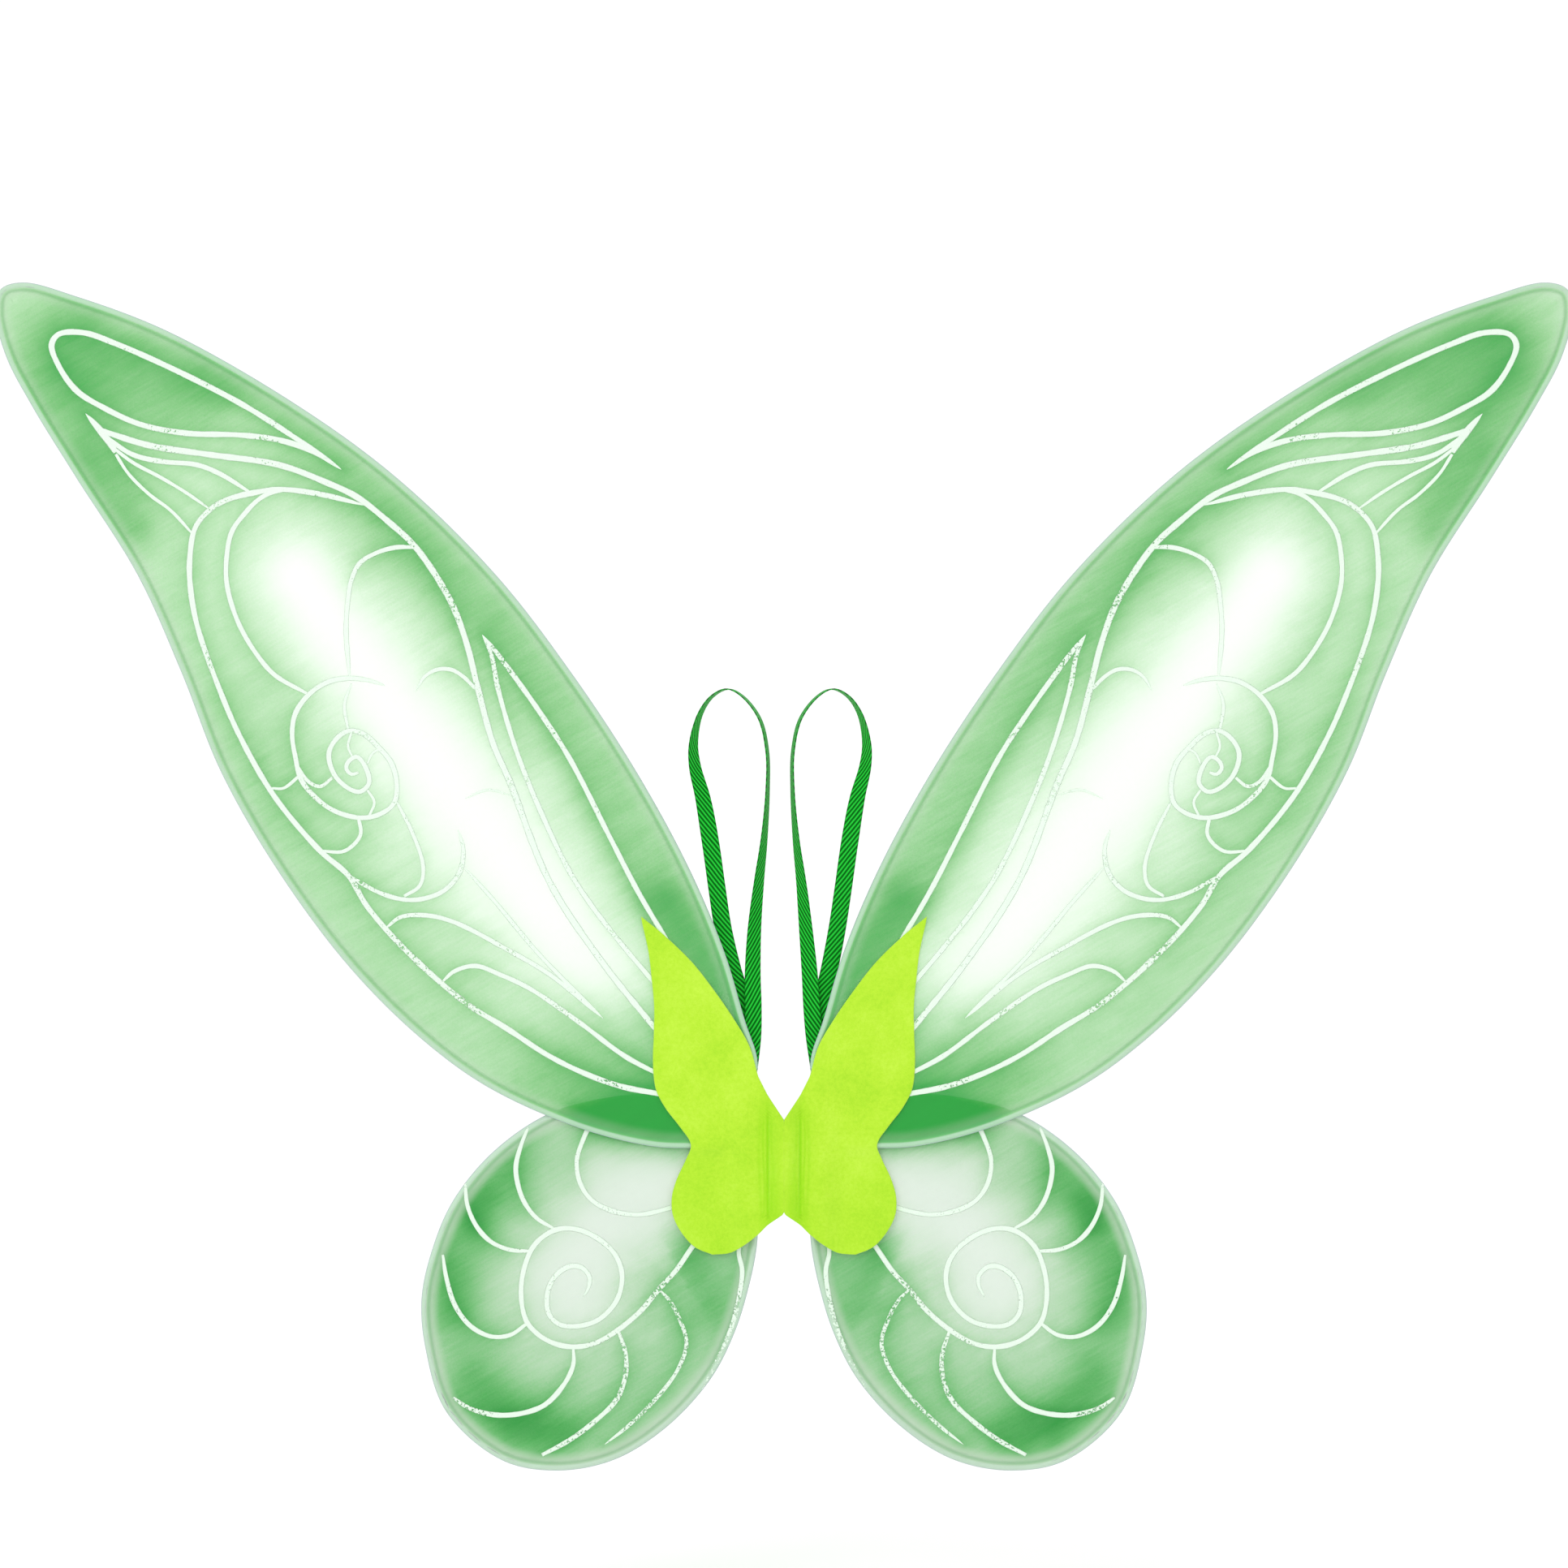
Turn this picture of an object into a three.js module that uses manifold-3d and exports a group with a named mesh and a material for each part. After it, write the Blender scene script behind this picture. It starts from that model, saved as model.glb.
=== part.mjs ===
// Costume fairy wings: four wire-framed fabric wings held between a felt cover and a felt back pad,
// with two ribbon arm loops. Millimetres. +Z is up as worn, the decorated side faces -Y and the wearer
// is at +Y. The origin is the centre of the back pad's middle strip, on the face that meets the back.
import * as THREE from 'three';
import { mergeVertices } from 'three/addons/utils/BufferGeometryUtils.js';
import Module from 'manifold-3d';

const wasm = await Module();
wasm.setup();

// Wings: how far each frame's centre line reaches from the middle plane and from the seat level.
const UPPER_REACH = 448.3;
const UPPER_RISE = 503.7;
const LOWER_REACH = 206.3;
const LOWER_DROP = 173.3;
const BOW_DEPTH = 18;
const BOW_START = 170;
const BOW_RUN = 480;
const WIRE = 2.5;
const MEMBRANE = 0.8;

// Felt cover and back pad. The band is the strip between the two creases.
const FELT = 1.5;
const COVER_REACH = 82;
const COVER_TOP = 143.5;
const COVER_BOTTOM = 50.6;
const BAND = 19;
const BAND_TOP = 41;
const BAND_BOTTOM = 33.5;
const NOTCH = 27;
const RIDGE = 2.2;
const PAD_REACH = 60;
const PAD_TOP = 43;
const PAD_BOTTOM = 46;
const PAD_MARGIN = 3;
const PAD_SHOULDER = 45;

// Rolled felt inside the raised band: how far it stays inside the band's creases, and how far its crown
// stays under the band's. Its two shoulders stand a share of its crown high.
const CORE_MARGIN = 2;
const CORE_SINK = 0.4;
const CORE_SHOULDER = 0.8;

// Ribbon arm loops: where they are sewn on and how far the right one leans.
const RIBBON = 10;
const RIBBON_THICK = 0.7;
const RIGHT_LEAN = 4.5;
const SEAT_X = 21;
const KNUCKLE_RADIUS = 1.2;
const TAB_LENGTH = 26;

// Splices that close the wire frames.
const CRIMP_LENGTH = 13;
const WIRE_END = 3;
const SLEEVE_WALL = 0.5;
const SLEEVE_SLACK = 0.2;
const CORNER = 6;
const BINDING_LENGTH = 6;
const UPPER_CRIMP_Z = 40.5;
const LOWER_CRIMP_Z = -25;
const SHANK_X = 16.5;

// Clearance between neighbouring pieces, and between the two sides of a crease.
const GAP = 0.3;

// Layers from the wearer's side to the decorated side, as places along Y.
const SLEEVE_HALF = WIRE / 2 + SLEEVE_SLACK + SLEEVE_WALL;
const TAB_BACK = -FELT - GAP;
const TAB_FRONT = TAB_BACK - 2 * RIBBON_THICK - GAP;
const LOWER_Y = TAB_FRONT - GAP - SLEEVE_HALF;
const UPPER_Y = LOWER_Y - WIRE - GAP;
const COVER_BACK = UPPER_Y - SLEEVE_HALF - GAP;
const COVER_FRONT = COVER_BACK - FELT;

const HALF_X = (BAND + GAP) / 2;
const BAND_X = (BAND - GAP) / 2;
const LAP_X = SHANK_X + WIRE + 2 * GAP;
const STRAP_Y = (TAB_BACK + TAB_FRONT) / 2;
const KNUCKLE_Z = PAD_TOP + 2 * KNUCKLE_RADIUS;

// Half the straight length of each wire end: half the crimp, and what stands out of it.
const SHANK = CRIMP_LENGTH / 2 + WIRE_END;
const SHANK_STEPS = [-SHANK, 0, SHANK];

// How finely the shapes are cut: steps from each point of a frame or outline to the next, sides of a
// wire, rows and columns of the band, columns of the skins and steps of a ribbon loop.
const STEPS_EACH = 3;
const SIDES = 8;
const BAND_ROWS = 8;
const BAND_COLUMNS = 12;
const UPPER_COLUMNS = 9;
const LOWER_COLUMNS = 7;
const STRAP_STEPS = 78;

// Blades of the wings: each point is [reach, height] in percent of the wing's own reach and rise or drop,
// from the root up the inner edge, over the tip and back along the outer edge.
const UPPER_BLADE = [
  [3.9, 12.6], [5.3, 16.3], [8, 24.3], [12.5, 33.8], [19.3, 44.9], [27.5, 56], [37.1, 67.1],
  [49.7, 78.1], [62.5, 86.4], [78.7, 94.6], [90.3, 98.5], [96.8, 100], [99.4, 99.3], [100, 97.1],
  [98.7, 92.2], [95.6, 86.8], [90, 78.6], [82.2, 67.5], [76.6, 56.3], [71.7, 45.2], [64.6, 34.1],
  [55.5, 23.1], [46.2, 14.8], [37.5, 9.2], [25.5, 4.5], [16.7, 2.6], [12.1, 2.4],
];
const LOWER_BLADE = [
  [8.5, -27.5], [10.3, -38.4], [14.4, -54.5], [21.1, -70.1], [33.5, -86.1], [47.8, -96.6],
  [63.5, -100], [78.2, -96.6], [93.3, -80.9], [99, -59.9], [100, -43.9], [97.1, -28],
  [91.4, -12.1], [80.4, 3.9], [65.1, 16.4], [48.9, 21.7], [35.4, 22.7],
];

// Felt cover's right half, in percent of its reach and of its height above or below the seat level.
const COVER_OUTER = [
  [99.4, 97.5], [95, 86], [92.7, 75], [91, 64], [91.2, 53], [91.8, 42], [89.8, 31], [83, 23.3],
  [72.7, 15.6], [65.2, 8.7],
];
const COVER_LOBE = [
  [68.5, 3], [75, -14], [78.6, -35], [77.8, -56], [71, -77], [62, -92], [50, -100], [38, -98],
  [26, -87], [17.5, -76],
];
const COVER_INNER = [
  [18, 36], [24, 48], [34.5, 58.5], [48.3, 70], [64.8, 82], [85.7, 93.4], [97, 98.6],
];

// Back pad's right half, in percent of its own reach and of its height above or below the seat level.
const PAD_EDGE = [
  [88, 90], [92, 62], [84, 30], [89, -6], [99, -38], [97, -66], [80, -91], [58, -100], [36, -90],
];

// Ribbon loop as [distance from the middle plane, height], up the outer leg and down the inner leg.
const OUTER_LEG = [
  [SEAT_X, KNUCKLE_Z], [21.3, 56], [22.6, 75], [25, 97], [29.6, 113], [35, 136], [38.5, 159],
  [42, 184], [46.6, 211], [51.3, 230], [52, 243], [48, 260], [41, 270],
  [32.3, 274],
];
const INNER_LEG = [
  [24, 270], [14, 257], [9.6, 238], [9.4, 216], [11.4, 188], [14.4, 163], [17, 136], [18, 109],
  [17.7, 92], [18, 75], [19.6, 60], [20.8, 51], [SEAT_X, KNUCKLE_Z],
];
const OUTER_TWIST = [105, 255];
const INNER_TWIST = [60, 205];
const LEAN_HEIGHTS = [55, 140];

const COLOURS = {
  felt: ['#b4ea3c', 0.95, 0],
  wire: ['#c9cfcb', 0.35, 0.9],
  crimp: ['#a9adab', 0.4, 0.9],
  tape: ['#e8efe6', 0.8, 0],
  upper: ['#a9dcab', 0.5, 0],
  lower: ['#86c992', 0.5, 0],
  ribbon: ['#14932b', 0.4, 0],
};

const object = new THREE.Group();

function addPiece(name, geometry, look) {
  const [color, roughness, metalness] = COLOURS[look];
  const material = new THREE.MeshStandardMaterial({ color, roughness, metalness });
  const piece = new THREE.Mesh(geometry, material);
  piece.name = name;
  object.add(piece);
}

// ---- Solids ----

function solidOf(geometry) {
  const bare = geometry.clone();
  bare.deleteAttribute('normal');
  bare.deleteAttribute('uv');
  const merged = mergeVertices(bare, 1e-4);
  return new wasm.Manifold(new wasm.Mesh({
    numProp: 3,
    vertProperties: new Float32Array(merged.attributes.position.array),
    triVerts: new Uint32Array(merged.index.array),
  }));
}

function geometryOf(solid) {
  const mesh = solid.getMesh();
  const geometry = new THREE.BufferGeometry();
  geometry.setAttribute('position', new THREE.BufferAttribute(new Float32Array(mesh.vertProperties), 3));
  geometry.setIndex(new THREE.BufferAttribute(new Uint32Array(mesh.triVerts), 1));
  return geometry;
}

// The geometry of a closed skin of triangles, turned so that its faces point outwards.
function closedSkin(points, faces) {
  const corner = (i) => points[faces[i]];
  let volume = 0;
  for (let i = 0; i < faces.length; i += 3) {
    volume += corner(i).dot(corner(i + 1).clone().cross(corner(i + 2)));
  }
  if (volume < 0) faces.reverse();
  const geometry = new THREE.BufferGeometry().setFromPoints(points);
  geometry.setIndex(faces);
  return geometry;
}

function addQuad(faces, a, b, c, d) {
  faces.push(a, b, c, a, c, d);
}

// A solid through rings of points, each joined to the next, with both end rings closed.
function loft(rings) {
  const sides = rings[0].length;
  const last = (rings.length - 1) * sides;
  const faces = [];
  for (let start = 0; start < last; start += sides) {
    for (let k = 0; k < sides; k += 1) {
      const next = (k + 1) % sides;
      addQuad(faces, start + k, start + next, start + sides + next, start + sides + k);
    }
  }
  for (let k = 1; k + 1 < sides; k += 1) {
    faces.push(0, k + 1, k);
    faces.push(last, last + k, last + k + 1);
  }
  return closedSkin(rings.flat(), faces);
}

// A thin slab between a front and a back grid of points with the same rows and columns.
function slab(front, back) {
  const rows = front.length;
  const columns = front[0].length;
  const layer = rows * columns;
  const faces = [];
  for (let i = 0; i + 1 < rows; i += 1) {
    for (let k = 0; k + 1 < columns; k += 1) {
      const a = i * columns + k;
      addQuad(faces, a, a + 1, a + columns + 1, a + columns);
      addQuad(faces, layer + a, layer + a + columns, layer + a + columns + 1, layer + a + 1);
    }
  }
  rimOf(rows, columns).forEach((a, i, rim) => {
    const b = rim[(i + 1) % rim.length];
    addQuad(faces, b, a, layer + a, layer + b);
  });
  return closedSkin([...front.flat(), ...back.flat()], faces);
}

// Places of a grid's border points, once round.
function rimOf(rows, columns) {
  const rim = [];
  for (let k = 0; k + 1 < columns; k += 1) rim.push(k);
  for (let i = 0; i + 1 < rows; i += 1) rim.push(i * columns + columns - 1);
  for (let k = columns - 1; k > 0; k -= 1) rim.push((rows - 1) * columns + k);
  for (let i = rows - 1; i > 0; i -= 1) rim.push(i * columns);
  return rim;
}

// A flat plate with its outline in X and Z, reaching from its back face towards the decorated side.
function plate(outline, back, thickness) {
  const shape = new THREE.Shape(outline);
  const geometry = new THREE.ExtrudeGeometry(shape, { depth: thickness, bevelEnabled: false });
  return geometry.rotateX(Math.PI / 2).translate(0, back, 0);
}

// ---- Wing frames and skins ----

// The blades bow a little towards the decorated side, away from the felt.
function bow(x, z) {
  const out = Math.max(0, Math.hypot(x, z) - BOW_START) / BOW_RUN;
  return -BOW_DEPTH * out * out;
}

function placed(side, x, y, z) {
  return new THREE.Vector3(side * x, y + bow(x, z), z);
}

// Points on a round corner about a centre, with the angles in degrees.
function corner(centreX, centreZ, from, to) {
  return [0, 0.25, 0.5, 0.75, 1].map((share) => {
    const angle = THREE.MathUtils.degToRad(THREE.MathUtils.lerp(from, to, share));
    return [centreX + CORNER * Math.cos(angle), centreZ + CORNER * Math.sin(angle)];
  });
}

// Both ends of a frame lie side by side at the crimp. One leads into the blade's inner edge, and the
// other comes back from its outer edge round a corner at the root.
function framePoints(blade, reach, height, crimpZ, cornerZ) {
  const up = Math.sign(crimpZ);
  const inner = SHANK_STEPS.map((step) => [SHANK_X, crimpZ + up * step]);
  const lap = SHANK_STEPS.map((step) => [LAP_X, crimpZ + up * step]);
  const round = corner(LAP_X + CORNER, cornerZ + up * CORNER, -up * 90, -up * 180);
  return [
    ...inner,
    ...blade.map(([x, z]) => [reach * x / 100, height * z / 100]),
    [LAP_X + 3 * CORNER, cornerZ],
    ...round,
    ...lap,
  ];
}

const UPPER_CORNER_Z = UPPER_RISE * UPPER_BLADE.at(-1)[1] / 100;
const LOWER_CORNER_Z = UPPER_CORNER_Z + 2 * CORNER + BINDING_LENGTH;
const BINDING_Z = (UPPER_CORNER_Z + LOWER_CORNER_Z) / 2;

const WINGS = {
  upper: {
    points: framePoints(UPPER_BLADE, UPPER_REACH, UPPER_RISE, UPPER_CRIMP_Z, UPPER_CORNER_Z),
    blade: UPPER_BLADE.length,
    y: UPPER_Y,
    turn: 1,
    crimpZ: UPPER_CRIMP_Z,
  },
  lower: {
    points: framePoints(LOWER_BLADE, LOWER_REACH, LOWER_DROP, LOWER_CRIMP_Z, LOWER_CORNER_Z),
    blade: LOWER_BLADE.length,
    y: LOWER_Y,
    turn: -1,
    crimpZ: LOWER_CRIMP_Z,
  },
};

function framePath(wing) {
  const points = wing.points.map(([x, z]) => placed(1, x, wing.y, z));
  return new THREE.CatmullRomCurve3(points, false, 'centripetal');
}

// The wire of one wing. Its section is turned so that two flats face the felt.
function wireFrame(wing, side) {
  const path = framePath(wing);
  const steps = (wing.points.length - 1) * STEPS_EACH;
  const rings = [];
  for (let i = 0; i <= steps; i += 1) {
    const at = path.getPoint(i / steps);
    const along = path.getTangent(i / steps);
    const across = new THREE.Vector3(along.z, 0, -along.x).normalize();
    const through = new THREE.Vector3().crossVectors(along, across);
    const ring = [];
    for (let k = 0; k < SIDES; k += 1) {
      const angle = (2 * Math.PI * (k + 0.5)) / SIDES;
      const point = at.clone().addScaledVector(across, (WIRE / 2) * Math.cos(angle));
      point.addScaledVector(through, (WIRE / 2) * Math.sin(angle));
      ring.push(new THREE.Vector3(side * point.x, point.y, point.z));
    }
    rings.push(ring);
  }
  return loft(rings);
}

// The skin that fills a blade inside its wire. Its rows run across, from the inner to the outer edge, and
// start clear of the wire's free end.
function membrane(wing, side, columns) {
  const path = framePath(wing);
  const last = wing.points.length - 1;
  const inset = WIRE / 2 + GAP;
  const edge = (place) => {
    const at = path.getPoint(place / last);
    const along = path.getTangent(place / last);
    return [at.x + wing.turn * along.z * inset, at.z - wing.turn * along.x * inset];
  };
  const clear = Math.abs(wing.crimpZ) + SHANK + 4 * WIRE;
  let start = SHANK_STEPS.length;
  while (Math.abs(edge(start)[1]) < clear) start += 1 / STEPS_EACH;
  const end = SHANK_STEPS.length + wing.blade;
  const rows = Math.floor(((end - start) * STEPS_EACH) / 2) - 1;
  const front = [];
  const back = [];
  for (let i = 0; i <= rows; i += 1) {
    const inner = edge(start + i / STEPS_EACH);
    const outer = edge(end - i / STEPS_EACH);
    const line = Array.from({ length: columns + 1 }, (_, k) => [
      THREE.MathUtils.lerp(inner[0], outer[0], k / columns),
      THREE.MathUtils.lerp(inner[1], outer[1], k / columns),
    ]);
    front.push(line.map(([x, z]) => placed(side, x, wing.y - MEMBRANE / 2, z)));
    back.push(line.map(([x, z]) => placed(side, x, wing.y + MEMBRANE / 2, z)));
  }
  return slab(front, back);
}

// A racetrack-shaped sleeve along Z round what lies inside, given by half its size in X and in Y.
function sleeve(side, x, y, z, insideX, insideY, length) {
  const track = (path, halfX, halfY) => {
    const radius = Math.min(halfX, halfY);
    path.absarc(halfX - radius, halfY - radius, radius, 0, Math.PI / 2, false);
    path.absarc(radius - halfX, halfY - radius, radius, Math.PI / 2, Math.PI, false);
    path.absarc(radius - halfX, radius - halfY, radius, Math.PI, 1.5 * Math.PI, false);
    path.absarc(halfX - radius, radius - halfY, radius, 1.5 * Math.PI, 2 * Math.PI, false);
    return path;
  };
  const shape = track(new THREE.Shape(), insideX + SLEEVE_WALL, insideY + SLEEVE_WALL);
  shape.holes.push(track(new THREE.Path(), insideX, insideY));
  const options = { depth: length, bevelEnabled: false, curveSegments: 2 };
  return new THREE.ExtrudeGeometry(shape, options).translate(side * x, y, z - length / 2);
}

function crimp(wing, side) {
  const inside = WIRE / 2 + SLEEVE_SLACK;
  const middle = (SHANK_X + LAP_X) / 2;
  return sleeve(side, middle, wing.y, wing.crimpZ, inside + (LAP_X - SHANK_X) / 2, inside, CRIMP_LENGTH);
}

function rootBinding(side) {
  const inside = WIRE / 2 + SLEEVE_SLACK;
  const middle = (UPPER_Y + LOWER_Y) / 2;
  const length = BINDING_LENGTH - 2 * GAP;
  return sleeve(side, LAP_X, middle, BINDING_Z, inside, inside + (LOWER_Y - UPPER_Y) / 2, length);
}

// ---- Felt ----

// A smooth stretch through points given in percent of a reach and of a height up or down.
function stretch(points, side, reach, top, bottom) {
  const full = points.map(([x, z]) => new THREE.Vector2(x * reach / 100, z * (z < 0 ? bottom : top) / 100));
  const spline = new THREE.SplineCurve(full);
  return spline.getPoints((points.length - 1) * STEPS_EACH).map((p) => new THREE.Vector2(side * p.x, p.y));
}

function frontCover(side) {
  const along = (points) => stretch(points, side, COVER_REACH, COVER_TOP, COVER_BOTTOM);
  const outline = [
    new THREE.Vector2(side * COVER_REACH, COVER_TOP),
    ...along(COVER_OUTER),
    ...along(COVER_LOBE),
    new THREE.Vector2(side * HALF_X, -BAND_BOTTOM),
    new THREE.Vector2(side * HALF_X, BAND_TOP),
    ...along(COVER_INNER),
  ];
  return plate(outline, COVER_BACK, FELT);
}

function backPad(side) {
  const outline = [
    new THREE.Vector2(side * (HALF_X + PAD_MARGIN), PAD_TOP),
    new THREE.Vector2(side * PAD_SHOULDER, PAD_TOP),
    ...stretch(PAD_EDGE, side, PAD_REACH, PAD_TOP, PAD_BOTTOM),
    new THREE.Vector2(side * HALF_X, PAD_MARGIN - BAND_BOTTOM),
    new THREE.Vector2(side * HALF_X, BAND_TOP - PAD_MARGIN),
  ];
  return plate(outline, 0, FELT);
}

// A strip between the creases whose ends are notched, as far from the cover's own notches as margin.
function bandOutline(halfWidth, margin) {
  return [
    new THREE.Vector2(-halfWidth, BAND_TOP - margin),
    new THREE.Vector2(0, NOTCH - margin),
    new THREE.Vector2(halfWidth, BAND_TOP - margin),
    new THREE.Vector2(halfWidth, margin - BAND_BOTTOM),
    new THREE.Vector2(0, margin - NOTCH),
    new THREE.Vector2(-halfWidth, margin - BAND_BOTTOM),
  ];
}

// The cover's middle strip, arched out between its creases.
function coverBand() {
  const grid = (y, rise) => Array.from({ length: BAND_ROWS + 1 }, (_, i) =>
    Array.from({ length: BAND_COLUMNS + 1 }, (__, k) => {
      const share = (2 * k) / BAND_COLUMNS - 1;
      const top = THREE.MathUtils.lerp(NOTCH, BAND_TOP, Math.abs(share));
      const bottom = THREE.MathUtils.lerp(NOTCH, BAND_BOTTOM, Math.abs(share));
      const z = THREE.MathUtils.lerp(-bottom, top, i / BAND_ROWS);
      return new THREE.Vector3(share * BAND_X, y - rise * Math.cos((share * Math.PI) / 2), z);
    }));
  return slab(grid(COVER_FRONT, RIDGE), grid(COVER_BACK, RIDGE));
}

// The rolled felt inside the raised band: flat towards the pad and crowned towards the cover.
function bandCore() {
  const halfWidth = BAND_X - CORE_MARGIN;
  const length = 2 * NOTCH - 2 * PAD_MARGIN;
  const front = COVER_BACK + GAP;
  const crown = RIDGE - CORE_SINK;
  const section = new THREE.Shape([
    new THREE.Vector2(halfWidth, TAB_BACK),
    new THREE.Vector2(-halfWidth, TAB_BACK),
    new THREE.Vector2(-halfWidth, front),
    new THREE.Vector2(-halfWidth / 2, front - crown * CORE_SHOULDER),
    new THREE.Vector2(0, front - crown),
    new THREE.Vector2(halfWidth / 2, front - crown * CORE_SHOULDER),
    new THREE.Vector2(halfWidth, front),
  ]);
  const geometry = new THREE.ExtrudeGeometry(section, { depth: length, bevelEnabled: false });
  return geometry.translate(0, 0, -length / 2);
}

// ---- Ribbon arm loops ----

// How far the ribbon has turned edge-on at a height on one of its legs, as an angle.
function ribbonTurn(height, heights) {
  return (Math.PI / 2) * THREE.MathUtils.smoothstep(height, ...heights);
}

// A ribbon that stands up from its seat as a loop. Its feet lie flat, one behind the other, in a knuckle
// that turns above the sewn tab. Towards the top it turns edge-on and bends over.
function ribbonLoop(side, lean) {
  const layer = (RIBBON_THICK + GAP) / 2;
  const standing = (x, y, z) =>
    new THREE.Vector3(x - lean * THREE.MathUtils.smoothstep(z, ...LEAN_HEIGHTS), y, z);
  const path = new THREE.CatmullRomCurve3([
    ...OUTER_LEG.map(([x, z]) => standing(x, STRAP_Y + layer, z)),
    ...INNER_LEG.map(([x, z]) => standing(x, STRAP_Y - layer, z)),
  ], false, 'centripetal');
  const rings = [];
  for (let i = 0; i <= STRAP_STEPS; i += 1) {
    const at = path.getPoint(i / STRAP_STEPS);
    const along = path.getTangent(i / STRAP_STEPS);
    const turn = ribbonTurn(at.z, 2 * i < STRAP_STEPS ? OUTER_TWIST : INNER_TWIST);
    const across = new THREE.Vector3(Math.cos(turn), -Math.sin(turn), 0);
    across.addScaledVector(along, -across.dot(along)).normalize();
    const through = new THREE.Vector3().crossVectors(along, across);
    const corners = [[1, 1], [-1, 1], [-1, -1], [1, -1]];
    rings.push(corners.map(([a, b]) => {
      const point = at.clone().addScaledVector(across, a * RIBBON / 2);
      point.addScaledVector(through, b * RIBBON_THICK / 2);
      return new THREE.Vector3(side * point.x, point.y, point.z);
    }));
  }
  const knuckle = new THREE.CylinderGeometry(KNUCKLE_RADIUS, KNUCKLE_RADIUS, RIBBON + 2 * GAP, 12);
  knuckle.rotateZ(Math.PI / 2).translate(side * SEAT_X, STRAP_Y, KNUCKLE_Z);
  return geometryOf(solidOf(loft(rings)).add(solidOf(knuckle)));
}

// The ribbon's two sewn ends, one on the other between the frames and the pad.
function ribbonTab(side) {
  const top = KNUCKLE_Z - KNUCKLE_RADIUS - GAP;
  const half = RIBBON / 2;
  const outline = [
    [-half, top], [half, top], [half, top - TAB_LENGTH], [-half, top - TAB_LENGTH],
  ].map(([x, z]) => new THREE.Vector2(side * (SEAT_X + x), z));
  return plate(outline, TAB_BACK, TAB_BACK - TAB_FRONT);
}

// ---- Assembly ----

addPiece('front_cover_spine', coverBand(), 'felt');
addPiece('spine_core', bandCore(), 'felt');
addPiece('back_pad_spine', plate(bandOutline(BAND_X, PAD_MARGIN), 0, FELT), 'felt');

for (const [hand, side, lean] of [['left', -1, 0], ['right', 1, RIGHT_LEAN]]) {
  addPiece(`${hand}_front_cover`, frontCover(side), 'felt');
  addPiece(`${hand}_back_pad`, backPad(side), 'felt');
  for (const [place, columns] of [['upper', UPPER_COLUMNS], ['lower', LOWER_COLUMNS]]) {
    const wing = WINGS[place];
    addPiece(`${hand}_${place}_wire_frame`, wireFrame(wing, side), 'wire');
    addPiece(`${hand}_${place}_membrane`, membrane(wing, side, columns), place);
    addPiece(`${hand}_${place}_wire_crimp`, crimp(wing, side), 'crimp');
  }
  addPiece(`${hand}_root_binding`, rootBinding(side), 'tape');
  addPiece(`${hand}_strap`, ribbonLoop(side, lean), 'ribbon');
  addPiece(`${hand}_strap_tab`, ribbonTab(side), 'ribbon');
}

export default object;
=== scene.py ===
"""Costume fairy wings, dressed round their CAD frame.

The felt cover and back pad, the sheer wing sheaths with their glitter veins, the ribbon arm loops, the
rolled felt core and the root tapes are made here as meshes, and every piece gets its cloth or metal finish.
Lengths are metres. +Z is up as worn, the decorated side faces -Y and the wearer is at +Y.
"""

import math

import bmesh
import bpy
import numpy as np
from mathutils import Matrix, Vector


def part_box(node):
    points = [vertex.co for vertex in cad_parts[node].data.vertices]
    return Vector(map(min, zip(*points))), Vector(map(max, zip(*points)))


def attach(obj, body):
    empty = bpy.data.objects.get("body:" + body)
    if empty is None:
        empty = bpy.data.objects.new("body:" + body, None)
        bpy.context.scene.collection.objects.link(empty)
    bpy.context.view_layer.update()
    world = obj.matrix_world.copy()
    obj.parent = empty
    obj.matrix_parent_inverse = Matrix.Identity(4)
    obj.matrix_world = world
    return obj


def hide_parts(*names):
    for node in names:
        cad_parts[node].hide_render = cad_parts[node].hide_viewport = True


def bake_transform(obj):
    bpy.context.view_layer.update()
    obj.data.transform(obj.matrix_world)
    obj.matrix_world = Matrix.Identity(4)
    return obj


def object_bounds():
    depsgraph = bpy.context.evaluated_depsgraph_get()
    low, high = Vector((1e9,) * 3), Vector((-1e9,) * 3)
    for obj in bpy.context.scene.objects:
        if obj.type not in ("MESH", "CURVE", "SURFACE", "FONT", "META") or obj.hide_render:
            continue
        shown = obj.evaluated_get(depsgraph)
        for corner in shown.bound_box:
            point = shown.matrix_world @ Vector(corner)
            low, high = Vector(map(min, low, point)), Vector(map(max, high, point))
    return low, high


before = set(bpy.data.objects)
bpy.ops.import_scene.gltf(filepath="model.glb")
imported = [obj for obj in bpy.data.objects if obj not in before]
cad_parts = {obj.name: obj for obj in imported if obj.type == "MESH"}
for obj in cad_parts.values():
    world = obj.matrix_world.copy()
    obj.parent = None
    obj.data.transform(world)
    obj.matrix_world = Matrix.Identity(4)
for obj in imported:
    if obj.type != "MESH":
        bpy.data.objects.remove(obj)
CAD_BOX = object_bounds()

bl_info = {
    "name": "Fairy wings",
    "version": (1, 0, 0),
    "blender": (4, 5, 0),
    "location": "3D View > Sidebar > Fairy wings",
    "description": "Builds the cloth, felt, ribbon and glitter of a pair of costume fairy wings",
    "category": "Object",
}

MM = 0.001
FAR = 1e9
FLOOR_ROOM = 80 * MM
HANDS = (("left", -1), ("right", 1))

# ---- Driving sizes, read from the frame where a part gives them ----

WIRE_RADIUS = 1.25 * MM
WIRE_FLAT = WIRE_RADIUS * math.cos(math.pi / 8)
BOW_DEPTH = 18 * MM
BOW_START = 170 * MM
BOW_RUN = 480 * MM
CORNER = 6 * MM

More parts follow.
